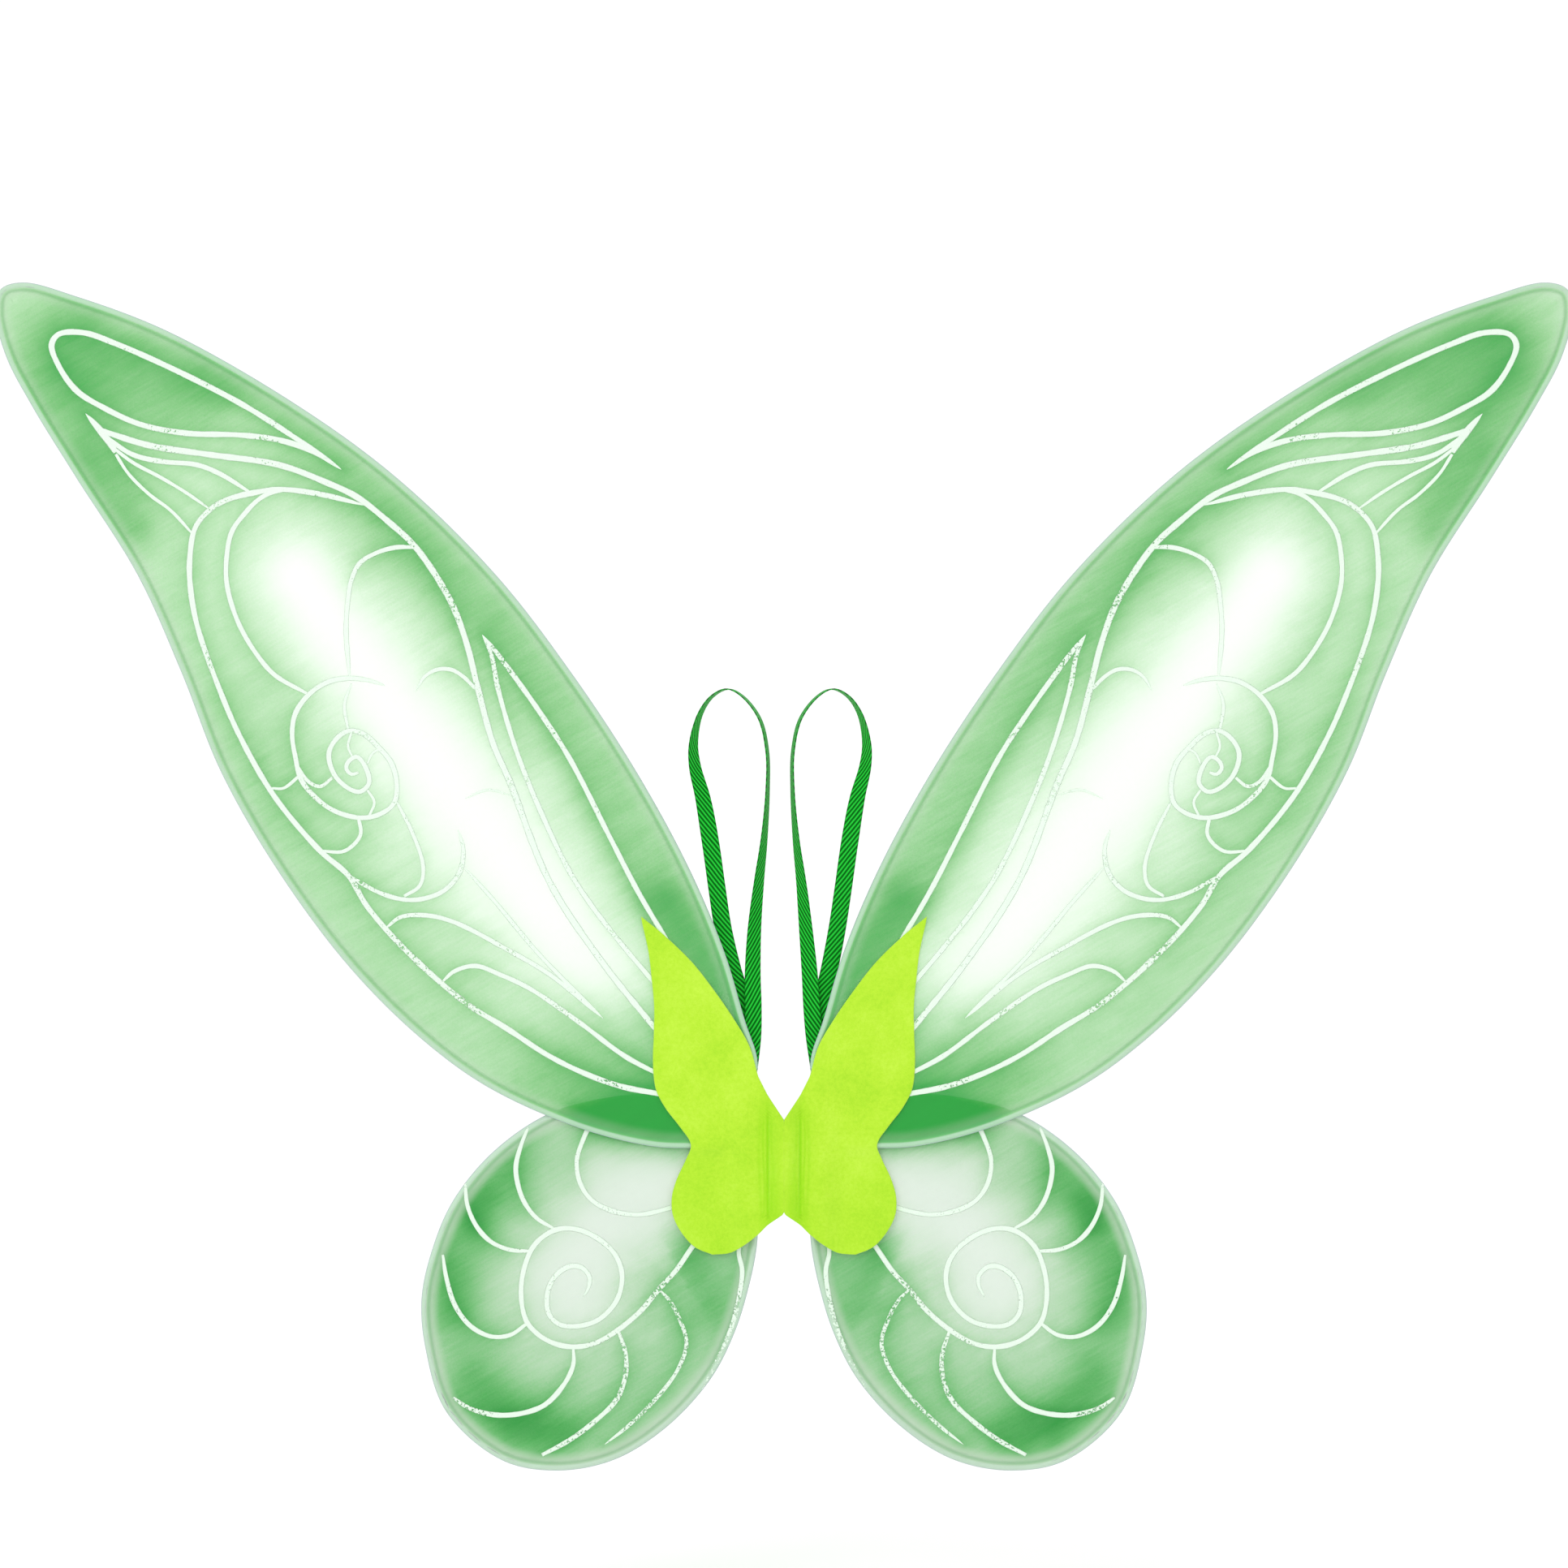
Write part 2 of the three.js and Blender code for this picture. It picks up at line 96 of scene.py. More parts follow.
UPPER_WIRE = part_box("right_upper_wire_frame")
LOWER_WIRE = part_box("right_lower_wire_frame")
UPPER_REACH = UPPER_WIRE[1].x - WIRE_FLAT
UPPER_RISE = UPPER_WIRE[1].z - WIRE_FLAT
LOWER_REACH = LOWER_WIRE[1].x - WIRE_FLAT
LOWER_DROP = -LOWER_WIRE[0].z - WIRE_FLAT
UPPER_Y = UPPER_WIRE[1].y - WIRE_FLAT
LOWER_Y = LOWER_WIRE[1].y - WIRE_FLAT
SHANK_X = UPPER_WIRE[0].x + WIRE_FLAT
WIRE_END = 3 * MM
LOWER_CORNER_Z = 30.09 * MM
CLEARANCE = 0.3 * MM

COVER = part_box("right_front_cover")
COVER_REACH = COVER[1].x
COVER_TOP = COVER[1].z
COVER_BOTTOM = -COVER[0].z
COVER_BACK = COVER[1].y
FELT = COVER[1].y - COVER[0].y
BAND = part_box("front_cover_spine")
CREASE_X = BAND[1].x
RIDGE = COVER[0].y - BAND[0].y
BAND_TOP = BAND[1].z
BAND_BOTTOM = -BAND[0].z
NOTCH = 27 * MM

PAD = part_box("right_back_pad")
PAD_REACH = PAD[1].x
PAD_TOP = PAD[1].z
PAD_BOTTOM = -PAD[0].z
PAD_MARGIN = 3 * MM

# Blades of the wings: each point is (reach, height) in percent of the wing's own reach and rise or drop,
# from the root up the inner edge, over the tip and back along the outer edge.
UPPER_BLADE = (
    (3.9, 12.6), (5.3, 16.3), (8, 24.3), (12.5, 33.8), (19.3, 44.9), (27.5, 56), (37.1, 67.1),
    (49.7, 78.1), (62.5, 86.4), (78.7, 94.6), (90.3, 98.5), (96.8, 100), (99.4, 99.3), (100, 97.1),
    (98.7, 92.2), (95.6, 86.8), (90, 78.6), (82.2, 67.5), (76.6, 56.3), (71.7, 45.2), (64.6, 34.1),
    (55.5, 23.1), (46.2, 14.8), (37.5, 9.2), (25.5, 4.5), (16.7, 2.6), (12.1, 2.4),
)
LOWER_BLADE = (
    (8.5, -27.5), (10.3, -38.4), (14.4, -54.5), (21.1, -70.1), (33.5, -86.1), (47.8, -96.6),
    (63.5, -100), (78.2, -96.6), (93.3, -80.9), (99, -59.9), (100, -43.9), (97.1, -28),
    (91.4, -12.1), (80.4, 3.9), (65.1, 16.4), (48.9, 21.7), (35.4, 22.7),
)

# Felt cover's right half, in percent of its reach and of its height above or below the seat level.
COVER_OUTER = (
    (100, 100), (99.4, 97.5), (95, 86), (92.7, 75), (91, 64), (91.2, 53), (91.8, 42), (89.8, 31),
    (83, 23.3), (72.7, 15.6), (65.2, 8.7), (68.5, 3), (75, -14), (78.6, -35), (77.8, -56),
    (71, -77), (62, -92), (50, -100),
)
COVER_INNER = ((100, 100), (97, 98.6), (85.7, 93.4), (64.8, 82), (48.3, 70), (34.5, 58.5), (24, 48), (18, 36))
COVER_LOBE = ((17.5, -76), (26, -87), (38, -98), (50, -100))

# Back pad's right half, in percent of its own reach and of its height above or below the seat level.
PAD_EDGE = (
    (75, 100), (88, 90), (92, 62), (84, 30), (89, -6), (99, -38), (97, -66), (80, -91), (58, -100),
)
PAD_LOBE = ((18, -68), (36, -90), (58, -100))

# Ribbon loop as (distance from the middle plane, height) in millimetres, up the outer leg and down the
# inner leg.
OUTER_LEG = (
    (21, 45.4), (21.3, 56), (22.6, 75), (25, 97), (29.6, 113), (35, 136), (38.5, 159), (42, 184),
    (46.6, 211), (51.3, 230), (52, 243), (48, 260), (41, 270), (32.3, 274),
)
INNER_LEG = (
    (24, 270), (14, 257), (9.6, 238), (9.4, 216), (11.4, 188), (14.4, 163), (17, 136), (18, 109),
    (17.7, 92), (18, 75), (19.6, 60), (20.8, 51), (21, 45.4),
)
OUTER_TWIST = (165 * MM, 280 * MM)
INNER_TWIST = (40 * MM, 235 * MM)
EDGE_ON = math.radians(80)
LEAN_HEIGHTS = (55 * MM, 140 * MM)
LEAN = {"left": 0, "right": 4.5 * MM}
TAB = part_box("right_strap_tab")
SEAT_X = (TAB[0].x + TAB[1].x) / 2
SEAT_Y = (TAB[0].y + TAB[1].y) / 2
RIBBON = TAB[1].x - TAB[0].x
RIBBON_THICK = 0.7 * MM
HALF_LAYER = (RIBBON_THICK + CLEARANCE) / 2

# Glitter veins: a width in millimetres, how sharply each end thins to a point (1 is a sharp point and 0 is
# blunt), and the points they pass through, as (distance from the middle plane, height) in millimetres.
UPPER_VEINS = (
    (3.4, 0.9, 0.9, ((253.5, 399.5), (276, 415), (309, 436), (348, 456), (382, 471), (400, 477), (414, 476),
                     (418, 470), (414, 458), (404, 444), (388, 434), (368, 425), (342, 420), (311, 419),
                     (288, 416), (268, 409), (253.5, 399.5))),
    (5.4, 1.0, 0.4, ((399, 431), (392, 423), (385, 414), (382, 409))),
    (3.7, 0.2, 0.3, ((392, 422), (386, 420), (363, 413), (330, 408), (289, 402), (262, 392), (245, 384),
                     (227, 370), (211, 355), (191, 324), (182, 300), (176, 276), (167, 243), (157, 220),
                     (135, 164), (105, 118), (68, 72))),
    (3.0, 0.2, 0.6, ((388, 418), (373, 408), (357, 404), (336, 402), (323, 397), (305, 386))),
    (2.3, 0.2, 0.6, ((384, 412), (372, 403), (357, 395), (342, 386), (329, 377))),
    (2.1, 0.2, 0.6, ((382, 408), (375, 397), (363, 385), (351, 376), (338, 362))),
    (3.3, 0.9, 0.1, ((240, 379), (264, 385), (288, 388), (304, 386), (319, 382), (329, 376), (337, 366),
                     (340, 350), (340, 334), (336, 310), (322, 270), (311, 245), (292, 212), (266, 181),
                     (250, 167), (239, 149), (217, 124), (183, 94), (159, 79), (136, 64), (116, 54),
                     (94, 46), (68, 41))),
    (3.0, 0.2, 0.5, ((286, 388), (294, 386), (301, 382), (308, 375), (316, 364), (319, 350), (319, 334),
                     (313, 313), (303, 295), (292, 282), (273, 271))),
    (2.8, 0.3, 0.9, ((211, 355), (222, 355), (233, 352), (243, 346), (248, 336), (250, 324), (251, 307),
                     (249, 280))),
    (2.6, 0.3, 0.9, ((177, 274), (184, 281), (191, 285), (199, 285), (206, 281), (211, 273))),
    (3.0, 0.9, 0.5, ((229, 276), (239, 279), (250, 280), (261, 278), (272, 271), (280, 260), (282, 248),
                     (280, 234), (277, 222), (269, 212), (258, 204), (243, 200), (232, 202), (224, 208),
                     (222, 218), (225, 231), (233, 241), (241, 248), (249, 250), (256, 246), (261, 237),
                     (258, 225), (250, 217), (243, 215), (238, 220), (240, 229), (245, 235), (250, 232),
                     (251, 228), (248, 225), (244, 226))),
    (2.1, 0.3, 0.5, ((248, 249), (250, 241), (247, 234))),
    (2.1, 0.5, 0.3, ((239, 231), (236, 237), (231, 240))),
    (2.1, 0.3, 0.3, ((239, 216), (235, 209), (238, 201))),
    (2.6, 0.3, 0.8, ((259, 223), (266, 218), (273, 221), (280, 232))),
    (2.3, 0.3, 0.8, ((250, 251), (252, 265), (248, 277))),
    (2.6, 0.5, 0.3, ((294, 217), (287, 217), (278, 224))),
    (2.6, 0.3, 0.5, ((244, 200), (243, 190), (252, 181), (266, 181))),
    (2.4, 0.5, 0.3, ((222, 209), (213, 191), (207, 172), (209, 161), (218, 155))),
    (2.8, 0.6, 0.9, ((250, 167), (232, 157), (217, 153), (205, 154), (194, 159), (186, 169), (184, 182),
                     (187, 193))),
    (2.8, 0.6, 1.0, ((228, 137), (220, 143), (205, 144), (189, 140), (160, 125), (133, 109), (104, 85))),
    (2.4, 0.9, 0.9, ((184, 172), (166, 152), (140, 121), (104, 85))),
    (2.9, 0.6, 0.3, ((196, 106), (189, 112), (177, 115), (163, 110), (146, 102), (118, 83), (91, 63),
                     (68, 51))),
    (1.7, 0.9, 0.9, ((183, 211), (170, 216), (157, 213))),
    (3.0, 0.9, 0.3, ((173, 305), (168, 294), (164, 274), (153, 237), (138, 200), (123, 169), (110, 149),
                     (92, 126), (68, 98))),
    (3.1, 0.9, 0.3, ((173, 305), (165, 295), (156, 283), (139, 259), (123, 234), (100, 189), (84, 158),
                     (64, 124))),
)
LOWER_VEINS = (
    (2.8, 0.7, 0.3, ((102, 38), (109, 28), (115, 16), (119, 3), (117, -10), (110, -20), (98, -26),
                     (84, -28), (72, -26), (56, -21))),
    (2.9, 0.5, 0.5, ((147, 22), (151, 12), (154, 0), (153, -10), (149, -21), (142, -30), (132, -36))),
    (2.8, 0.5, 0.5, ((183, -10), (182, -22), (177, -34), (169, -43), (158, -48), (145, -49))),
    (2.8, 0.5, 0.5, ((196, -51), (194, -64), (189, -80), (180, -92), (168, -98), (157, -97), (147, -90))),
    (3.0, 0.6, 0.5, ((190, -133), (181, -139), (166, -143), (150, -142), (137, -137), (126, -125),
                     (121, -114), (121, -105))),
    (2.9, 0.3, 0.5, ((139, -166), (124, -158), (109, -147), (96, -134), (91, -120), (91, -108), (95, -95))),
    (2.4, 0.9, 0.5, ((103, -160), (89, -149), (72, -132), (61, -117), (56, -102), (60, -88), (66, -77),
                     (72, -71))),
    (2.8, 0.3, 0.9, ((25, -40), (26, -50), (24, -60), (26, -76), (30, -92), (38, -111), (47, -128))),
    (3.1, 0.3, 0.8, ((45, -36), (53, -47), (62, -60), (72, -71), (82, -83), (95, -94), (109, -102),
                     (121, -104), (132, -102), (141, -97), (148, -89), (151, -74), (149, -58), (143, -45),
                     (132, -37), (121, -36), (108, -41), (97, -51), (93, -63), (96, -77), (106, -88),
                     (118, -92), (129, -91), (135, -85), (136, -74), (132, -64), (124, -58), (117, -58),
                     (112, -63), (112, -69), (115, -75))),
)

# Airbrushing: soft strokes of (distance from the middle plane, height, half width) in millimetres. The
# white ones lighten the dyed cloth, and each dark one deepens it by its own amount; the strongest dark stroke
# of the lower wings is painted shade instead, where the upper wing lies over them.
UPPER_LIGHT = (
    (0.88, ((278, 338, 24), (254, 304, 31), (214, 248, 41), (172, 194, 49), (132, 140, 40), (112, 110, 42))),
    (0.3, ((352, 405, 34), (325, 405, 44), (300, 400, 50))),
    (0.2, ((335, 372, 19), (334, 330, 30), (318, 290, 27))),
    (0.11, ((215, 112, 9), (190, 92, 9), (160, 80, 8))),
    (0.42, ((441, 492, 30), (448, 478, 30))),
)
UPPER_DARK = (
    (0.24, ((405, 462, 16), (370, 450, 20), (330, 440, 14))),
    (0.26, ((398, 405, 12), (384, 382, 15), (372, 366, 10))),
    (0.22, ((410, 486, 22), (426, 480, 22), (432, 462, 24), (424, 440, 26))),
    (0.16, ((330, 470, 12), (282, 428, 14), (235, 380, 15), (190, 335, 14), (150, 285, 16), (108, 222, 18),
            (76, 166, 18))),
    (0.42, ((66, 150, 12), (48, 124, 15), (32, 90, 17), (26, 66, 17))),
    (0.28, ((118, 56, 30), (95, 40, 40), (60, 26, 50))),
    (0.5, ((116, 27, 7), (92, 30, 10), (60, 31, 13))),
)
LOWER_LIGHT = (
    (0.86, ((60, -10, 17), (84, -16, 48), (104, -34, 32), (122, -66, 42))),
    (0.18, ((40, -120, 12), (60, -146, 16), (90, -164, 15), (130, -174, 12), (160, -172, 11))),
)
LOWER_DARK = (
    (0.27, ((170, 0, 16), (186, -22, 20), (190, -50, 18), (190, -80, 15))),
    (0.18, ((170, -20, 8), (177, -32, 8))),
    (0.12, ((142, -150, 9), (156, -154, 8))),
    (0.25, ((178, -120, 11), (152, -154, 15), (128, -152, 11))),
    (0.13, ((62, -44, 7), (50, -60, 10), (40, -84, 8))),
    # Painted shade: this stroke darkens the lower wing's top to its deepest green where the upper wing lies
    # over it.
    (1.2, ((40, 31, 12), (64, 31, 12), (98, 30, 9))),
    (0.3, ((90, 26, 16), (112, 30, 12))),
)
# Where the glitter print has rubbed away, and by how much.
UPPER_RUBBED = (
    (0.17, ((212, 352, 8), (191, 320, 9), (178, 280, 9))),
    (0.12, ((170, 295, 9), (158, 265, 10), (140, 225, 10))),
    (0.12, ((246, 160, 10), (215, 120, 12), (180, 95, 12))),
)
LOWER_RUBBED = (
    (0.30, ((98, -158, 9), (72, -134, 10), (60, -110, 9), (62, -86, 7))),
    (0.16, ((112, -150, 7), (96, -134, 8), (91, -108, 8))),
    (0.26, ((27, -80, 7), (36, -106, 8), (47, -128, 8))),
    (0.10, ((60, -58, 10), (90, -92, 10), (118, -104, 8))),
    (0.22, ((190, -133, 8), (172, -143, 7))),
)


# ---- Small helpers ----

def srgb(code):
    """Linear red, green and blue of a colour written as six hexadecimal digits."""
    parts = (int(code[i:i + 2], 16) / 255 for i in (0, 2, 4))
    return tuple(c / 12.92 if c <= 0.04045 else ((c + 0.055) / 1.055) ** 2.4 for c in parts)


def smoothstep(low, high, value):
    share = np.clip((np.asarray(value, float) - low) / (high - low), 0, 1)
    return share * share * (3 - 2 * share)


def spline(points, each):
    """A centripetal Catmull-Rom curve through the points, with the same number of steps between each two."""
    given = np.asarray(points, float)
    ends = (2 * given[0] - given[1], 2 * given[-1] - given[-2])
    full = np.vstack((ends[0], given, ends[1]))
    made = []
    for a, b, c, d in zip(full, full[1:], full[2:], full[3:]):
        gaps = [max(np.linalg.norm(q - p), 1e-9) ** 0.5 for p, q in ((a, b), (b, c), (c, d))]
        slope_b = (b - a) / gaps[0] - (c - a) / (gaps[0] + gaps[1]) + (c - b) / gaps[1]
        slope_c = (c - b) / gaps[1] - (d - b) / (gaps[1] + gaps[2]) + (d - c) / gaps[2]
        slope_b = slope_b * gaps[1]
        slope_c = slope_c * gaps[1]
        for t in np.arange(each) / each:
            made.append(
                b + slope_b * t + (3 * (c - b) - 2 * slope_b - slope_c) * t * t
                + (2 * (b - c) + slope_b + slope_c) * t ** 3
            )
    made.append(given[-1])
    return np.array(made)


def even(points, step):
    """The same line with its points about one step apart."""
    gaps = np.linalg.norm(np.diff(points, axis=0), axis=1)
    along = np.concatenate(([0], np.cumsum(gaps)))
    count = max(2, round(along[-1] / step))
    places = np.linspace(0, along[-1], count + 1)
    return np.column_stack([np.interp(places, along, points[:, k]) for k in range(points.shape[1])])


def line_length(points):
    return float(np.linalg.norm(np.diff(points, axis=0), axis=1).sum())


def stroke_distance(x, z, line):
    """Distance of each place from a line, and the line's third value at the nearest point if it has one."""
    best = np.full(x.shape, FAR)
    carried = np.zeros(x.shape)
    for a, b in zip(line, line[1:]):
        run = b[:2] - a[:2]
        share = ((x - a[0]) * run[0] + (z - a[1]) * run[1]) / max(run @ run, 1e-12)
        share = np.clip(share, 0, 1)
        away = np.hypot(x - a[0] - share * run[0], z - a[1] - share * run[1])
        nearer = away < best
        best = np.where(nearer, away, best)
        if len(a) > 2:
            carried = np.where(nearer, a[2] + share * (b[2] - a[2]), carried)
    return best, carried


def new_mesh(name, points, faces):
    """A smooth mesh object with its faces turned outwards."""
    mesh = bpy.data.meshes.new(name)
    mesh.from_pydata([tuple(map(float, p)) for p in points], [], [tuple(map(int, f)) for f in faces])
    mesh.validate()
    if signed_volume(mesh) < 0:
        mesh.flip_normals()
    shade_smooth(mesh)
    piece = bpy.data.objects.new(name, mesh)
    bpy.context.scene.collection.objects.link(piece)
    return piece


def shade_smooth(mesh):
    mesh.polygons.foreach_set("use_smooth", [True] * len(mesh.polygons))
    mesh.update()


def signed_volume(mesh):
    mesh.calc_loop_triangles()
    corners = np.array([v.co for v in mesh.vertices], float)
    tri = np.array([t.vertices for t in mesh.loop_triangles])
    a, b, c = corners[tri[:, 0]], corners[tri[:, 1]], corners[tri[:, 2]]
    return float(np.einsum("ij,ij->i", a, np.cross(b, c)).sum()) / 6


def paint(piece, name, values):
    """Keeps one number for each point of a mesh, for its material to read."""
    kept = piece.data.attributes.new(name, "FLOAT", "POINT")
    kept.data.foreach_set("value", np.asarray(values, np.float32))


def flat_places(piece):
    """Distance from the middle plane and height of each point of a mesh."""
    places = np.array([v.co for v in piece.data.vertices], float)
    return np.abs(places[:, 0]), places[:, 2]


def stand_for(piece, finish, slot, *nodes):
    """Gives a piece its finish, and puts it in the place of CAD nodes."""
    piece.data.materials.append(finish)
    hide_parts(*nodes)


def loft_faces(rings, sides, start=0):
    """Faces of a closed tube of equal rings, whose points follow each other from a starting place."""
    faces = []
    for i in range(rings - 1):
        for k in range(sides):
            a = start + i * sides + k
            b = start + i * sides + (k + 1) % sides
            faces.append((a, b, b + sides, a + sides))
    last = start + (rings - 1) * sides
    faces.append(tuple(start + k for k in reversed(range(sides))))
    faces.append(tuple(last + k for k in range(sides)))
    return faces


def twin_grid_faces(rows, columns):
    """Faces of a thin closed cloth: a front grid, a back grid after it, and a hem that joins their rims."""
    layer = rows * columns
    faces = []
    for i in range(rows - 1):
        for k in range(columns - 1):
            a = i * columns + k
            faces.append((a, a + 1, a + columns + 1, a + columns))
            faces.append((layer + a, layer + a + columns, layer + a + columns + 1, layer + a + 1))
    rim = list(range(columns - 1))
    rim += [i * columns + columns - 1 for i in range(rows - 1)]
    rim += [(rows - 1) * columns + k for k in range(columns - 1, 0, -1)]
    rim += [i * columns for i in range(rows - 1, 0, -1)]
    for a, b in zip(rim, rim[1:] + rim[:1]):
        faces.append((b, a, layer + a, layer + b))
    return faces


# ---- Shader writing ----

class Value:
    """A shader socket that carries a number, with the arithmetic that the finishes use."""

    def __init__(self, shade, socket):
        self.shade = shade
        self.socket = socket

    def _with(self, operation, first, second):
        node = self.shade.node("ShaderNodeMath", {"operation": operation}, {0: first, 1: second})
        return Value(self.shade, node.outputs[0])

    def __add__(self, other):
        return self._with("ADD", self, other)

    def __radd__(self, other):
        return self._with("ADD", other, self)

    def __sub__(self, other):
        return self._with("SUBTRACT", self, other)

    def __rsub__(self, other):
        return self._with("SUBTRACT", other, self)

    def __mul__(self, other):
        return self._with("MULTIPLY", self, other)

    def __rmul__(self, other):
        return self._with("MULTIPLY", other, self)

    def between(self, low, high):
        """0 at low, 1 at high, with a soft start and end."""
        settings = {"interpolation_type": "SMOOTHSTEP", "clamp": True}
        node = self.shade.node("ShaderNodeMapRange", settings, {0: self, 1: low, 2: high, 3: 0, 4: 1})
        return Value(self.shade, node.outputs[0])

    def limited(self):
        node = self.shade.node("ShaderNodeClamp", {}, {0: self, 1: 0, 2: 1})
        return Value(self.shade, node.outputs[0])


class Shade:
    """A material under construction: one Principled shader and the nodes that lead to it."""

    def __init__(self, name, **constants):
        self.material = bpy.data.materials.new(name)
        self.material.use_nodes = True
        self.tree = self.material.node_tree
        self.tree.nodes.clear()
        self.output = self.node("ShaderNodeOutputMaterial", {}, {})
        self.body = self.node("ShaderNodeBsdfPrincipled", {}, {})
        self.tree.links.new(self.body.outputs[0], self.output.inputs[0])
        for socket, value in constants.items():
            self.body.inputs[socket.replace("_", " ").title().replace("Ior", "IOR")].default_value = value

    def node(self, kind, settings, sockets):
        """Adds a node: its settings first, then the values or links of its sockets."""
        made = self.tree.nodes.new(kind)
        for key, value in settings.items():
            if key == "stops":
                self.stops(made.color_ramp, value)
            else:
                setattr(made, key, value)
        for key, value in sockets.items():
            socket = made.inputs[key]
            if isinstance(value, Value):
                self.tree.links.new(value.socket, socket)
            elif isinstance(value, bpy.types.NodeSocket):
                self.tree.links.new(value, socket)
            else:
                socket.default_value = value
        return made

    @staticmethod
    def stops(ramp, stops):
        ramp.interpolation = "B_SPLINE" if len(stops) > 4 else "LINEAR"
        while len(ramp.elements) < len(stops):
            ramp.elements.new(1)
        for element, (place, colour) in zip(ramp.elements, stops):
            element.position = place
            element.color = (*colour[:3], 1)

    def kept(self, name):
        """A number kept on the mesh's points."""
        node = self.node("ShaderNodeAttribute", {"attribute_name": name}, {})
        return Value(self, node.outputs["Fac"])

    def place(self, scale=(1, 1, 1), turn=(0, 0, 0)):
        """The place on the object, turned and scaled."""
        where = self.node("ShaderNodeTexCoord", {}, {})
        turned = self.node("ShaderNodeMapping", {}, {"Vector": where.outputs["Object"], "Rotation": turn})
        made = self.node("ShaderNodeMapping", {}, {"Vector": turned.outputs[0], "Scale": scale})
        return made.outputs[0]

    def noise(self, place, scale, detail=3, roughness=0.5):
        sockets = {"Vector": place, "Scale": scale, "Detail": detail, "Roughness": roughness}
        return Value(self, self.node("ShaderNodeTexNoise", {}, sockets).outputs[0])

    def stripes(self, place, scale, direction="X", distortion=0.0):
        settings = {"wave_type": "BANDS", "bands_direction": direction}
        sockets = {"Vector": place, "Scale": scale, "Distortion": distortion, "Detail": 1.5}
        node = self.node("ShaderNodeTexWave", settings, sockets)
        return Value(self, node.outputs["Fac"])

    def cells(self, place, scale):
        return self.node("ShaderNodeTexVoronoi", {"feature": "F1"}, {"Vector": place, "Scale": scale})

    def ramp(self, factor, stops):
        return self.node("ShaderNodeValToRGB", {"stops": stops}, {0: factor}).outputs[0]

    def mix(self, factor, first, second):
        """A mix of two colours, each a colour or a socket."""
        colours = [(*c[:3], 1) if isinstance(c, tuple) else c for c in (first, second)]
        sockets = {0: factor, 6: colours[0], 7: colours[1]}
        return self.node("ShaderNodeMix", {"data_type": "RGBA"}, sockets).outputs[2]

    def bump(self, height, distance, strength=1.0, under=None):
        sockets = {"Height": height, "Distance": distance, "Strength": strength}
        if under is not None:
            sockets["Normal"] = under
        return self.node("ShaderNodeBump", {}, sockets).outputs[0]

    def feed(self, **links):
        """Links what varies over the surface to the shader's own sockets."""
        for name, source in links.items():
            socket = source.socket if isinstance(source, Value) else source
            self.tree.links.new(socket, self.body.inputs[name.replace("_", " ").title()])


# ---- Finishes ----

def sheer_nylon(name, look, stops, opaque, turned_in):
    """Airbrushed sheer nylon: its point paints say how deep the dye is and how far the rim is."""
    shade = Shade(name, specular_ior_level=0.35, sheen_weight=look.sheen, sheen_roughness=0.4)
    depth = shade.kept("dye")
    rim = shade.kept("rim")
    cloudy = shade.noise(shade.place(), 38, 4, 0.6)
    brushed = shade.noise(shade.place((16, 16, 130), (0, math.radians(30), 0)), 1.0, 3, 0.6)
    fine = shade.noise(shade.place((60, 60, 800), (0, math.radians(30), 0)), 1.0, 2, 0.5)
    speckled = shade.noise(shade.place(), 950, 2, 0.7)
    mottled = depth + (cloudy - 0.5) * 0.12 + (brushed - 0.5) * 0.10 + (fine - 0.5) * 0.12
    mottled = mottled + (speckled - 0.5) * 0.14
    worked = (mottled * depth.between(0.02, 0.3) + depth * (1 - depth.between(0.02, 0.3))).limited()
    dyed = shade.ramp(worked, stops)
    doubled = 1 - rim.between(3.5, 9.5)
    folded = shade.mix(doubled * (brushed * 0.5 + 0.75) * turned_in, dyed, look.turned_in[:])
    inside = rim.between(1.3, 2.3) * (1 - rim.between(2.5, 4.4))
    edged = shade.mix(inside * 0.28, folded, look.edge_shadow[:])
    tube = 1 - rim.between(0.7, 1.7)
    tubed = shade.mix(tube * 0.58, edged, look.edge_light[:])
    lip = 1 - rim.between(-1.75, -1.05)
    lipped = shade.mix(lip * 0.75, tubed, look.cut_edge[:])
    warp = shade.stripes(shade.place(turn=(0, math.radians(45), 0)), 420)
    weft = shade.stripes(shade.place(turn=(0, math.radians(-45), 0)), 420)
    crinkle = shade.noise(shade.place(), 90, 3, 0.6)
    near_rim = 1 - rim.between(2, 26)
    threads = shade.bump(warp * weft, 0.00008, 0.35)
    creased = shade.bump(crinkle * near_rim + brushed * 0.5, 0.0009, 0.35, threads)
    cover = opaque * (0.72 + worked * 0.62) * (0.94 + brushed * 0.12)
    hemmed = cover + (1 - rim.between(1.0, 3.0)) * 0.30 + inside * 0.18
    shade.feed(base_color=lipped, alpha=hemmed.limited(), roughness=0.36 + brushed * 0.3, normal=creased)
    return shade.material


def glitter(name, look):
    """White glitter print: tiny facets that each tilt the light their own way, over a hairline crackle."""
    shade = Shade(name, specular_ior_level=0.7, coat_weight=0.35, coat_roughness=0.2)
    where = shade.place()
    grains = shade.cells(where, 2400)
    tint = shade.node("ShaderNodeSeparateColor", {}, {0: grains.outputs["Color"]})
    flash = Value(shade, tint.outputs[0])
    flake = Value(shade, grains.outputs["Distance"])
    worn = shade.noise(where, 640, 4, 0.7)
    colour = shade.mix(flash.between(0.3, 0.95) * 0.25, look.glitter[:], look.glitter_shade[:])
    aged = shade.mix(worn.between(0.60, 0.74) * 0.35, colour, look.glitter_worn[:])
    kept = shade.kept("kept")
    cover = 1 - (kept * worn).between(0.50, 0.60)
    shade.feed(
        base_color=aged, roughness=0.25 + flash * 0.5, alpha=(cover * 0.93).limited(),
        normal=shade.bump(flake + flash, 0.00006, 0.35),
    )
    return shade.material


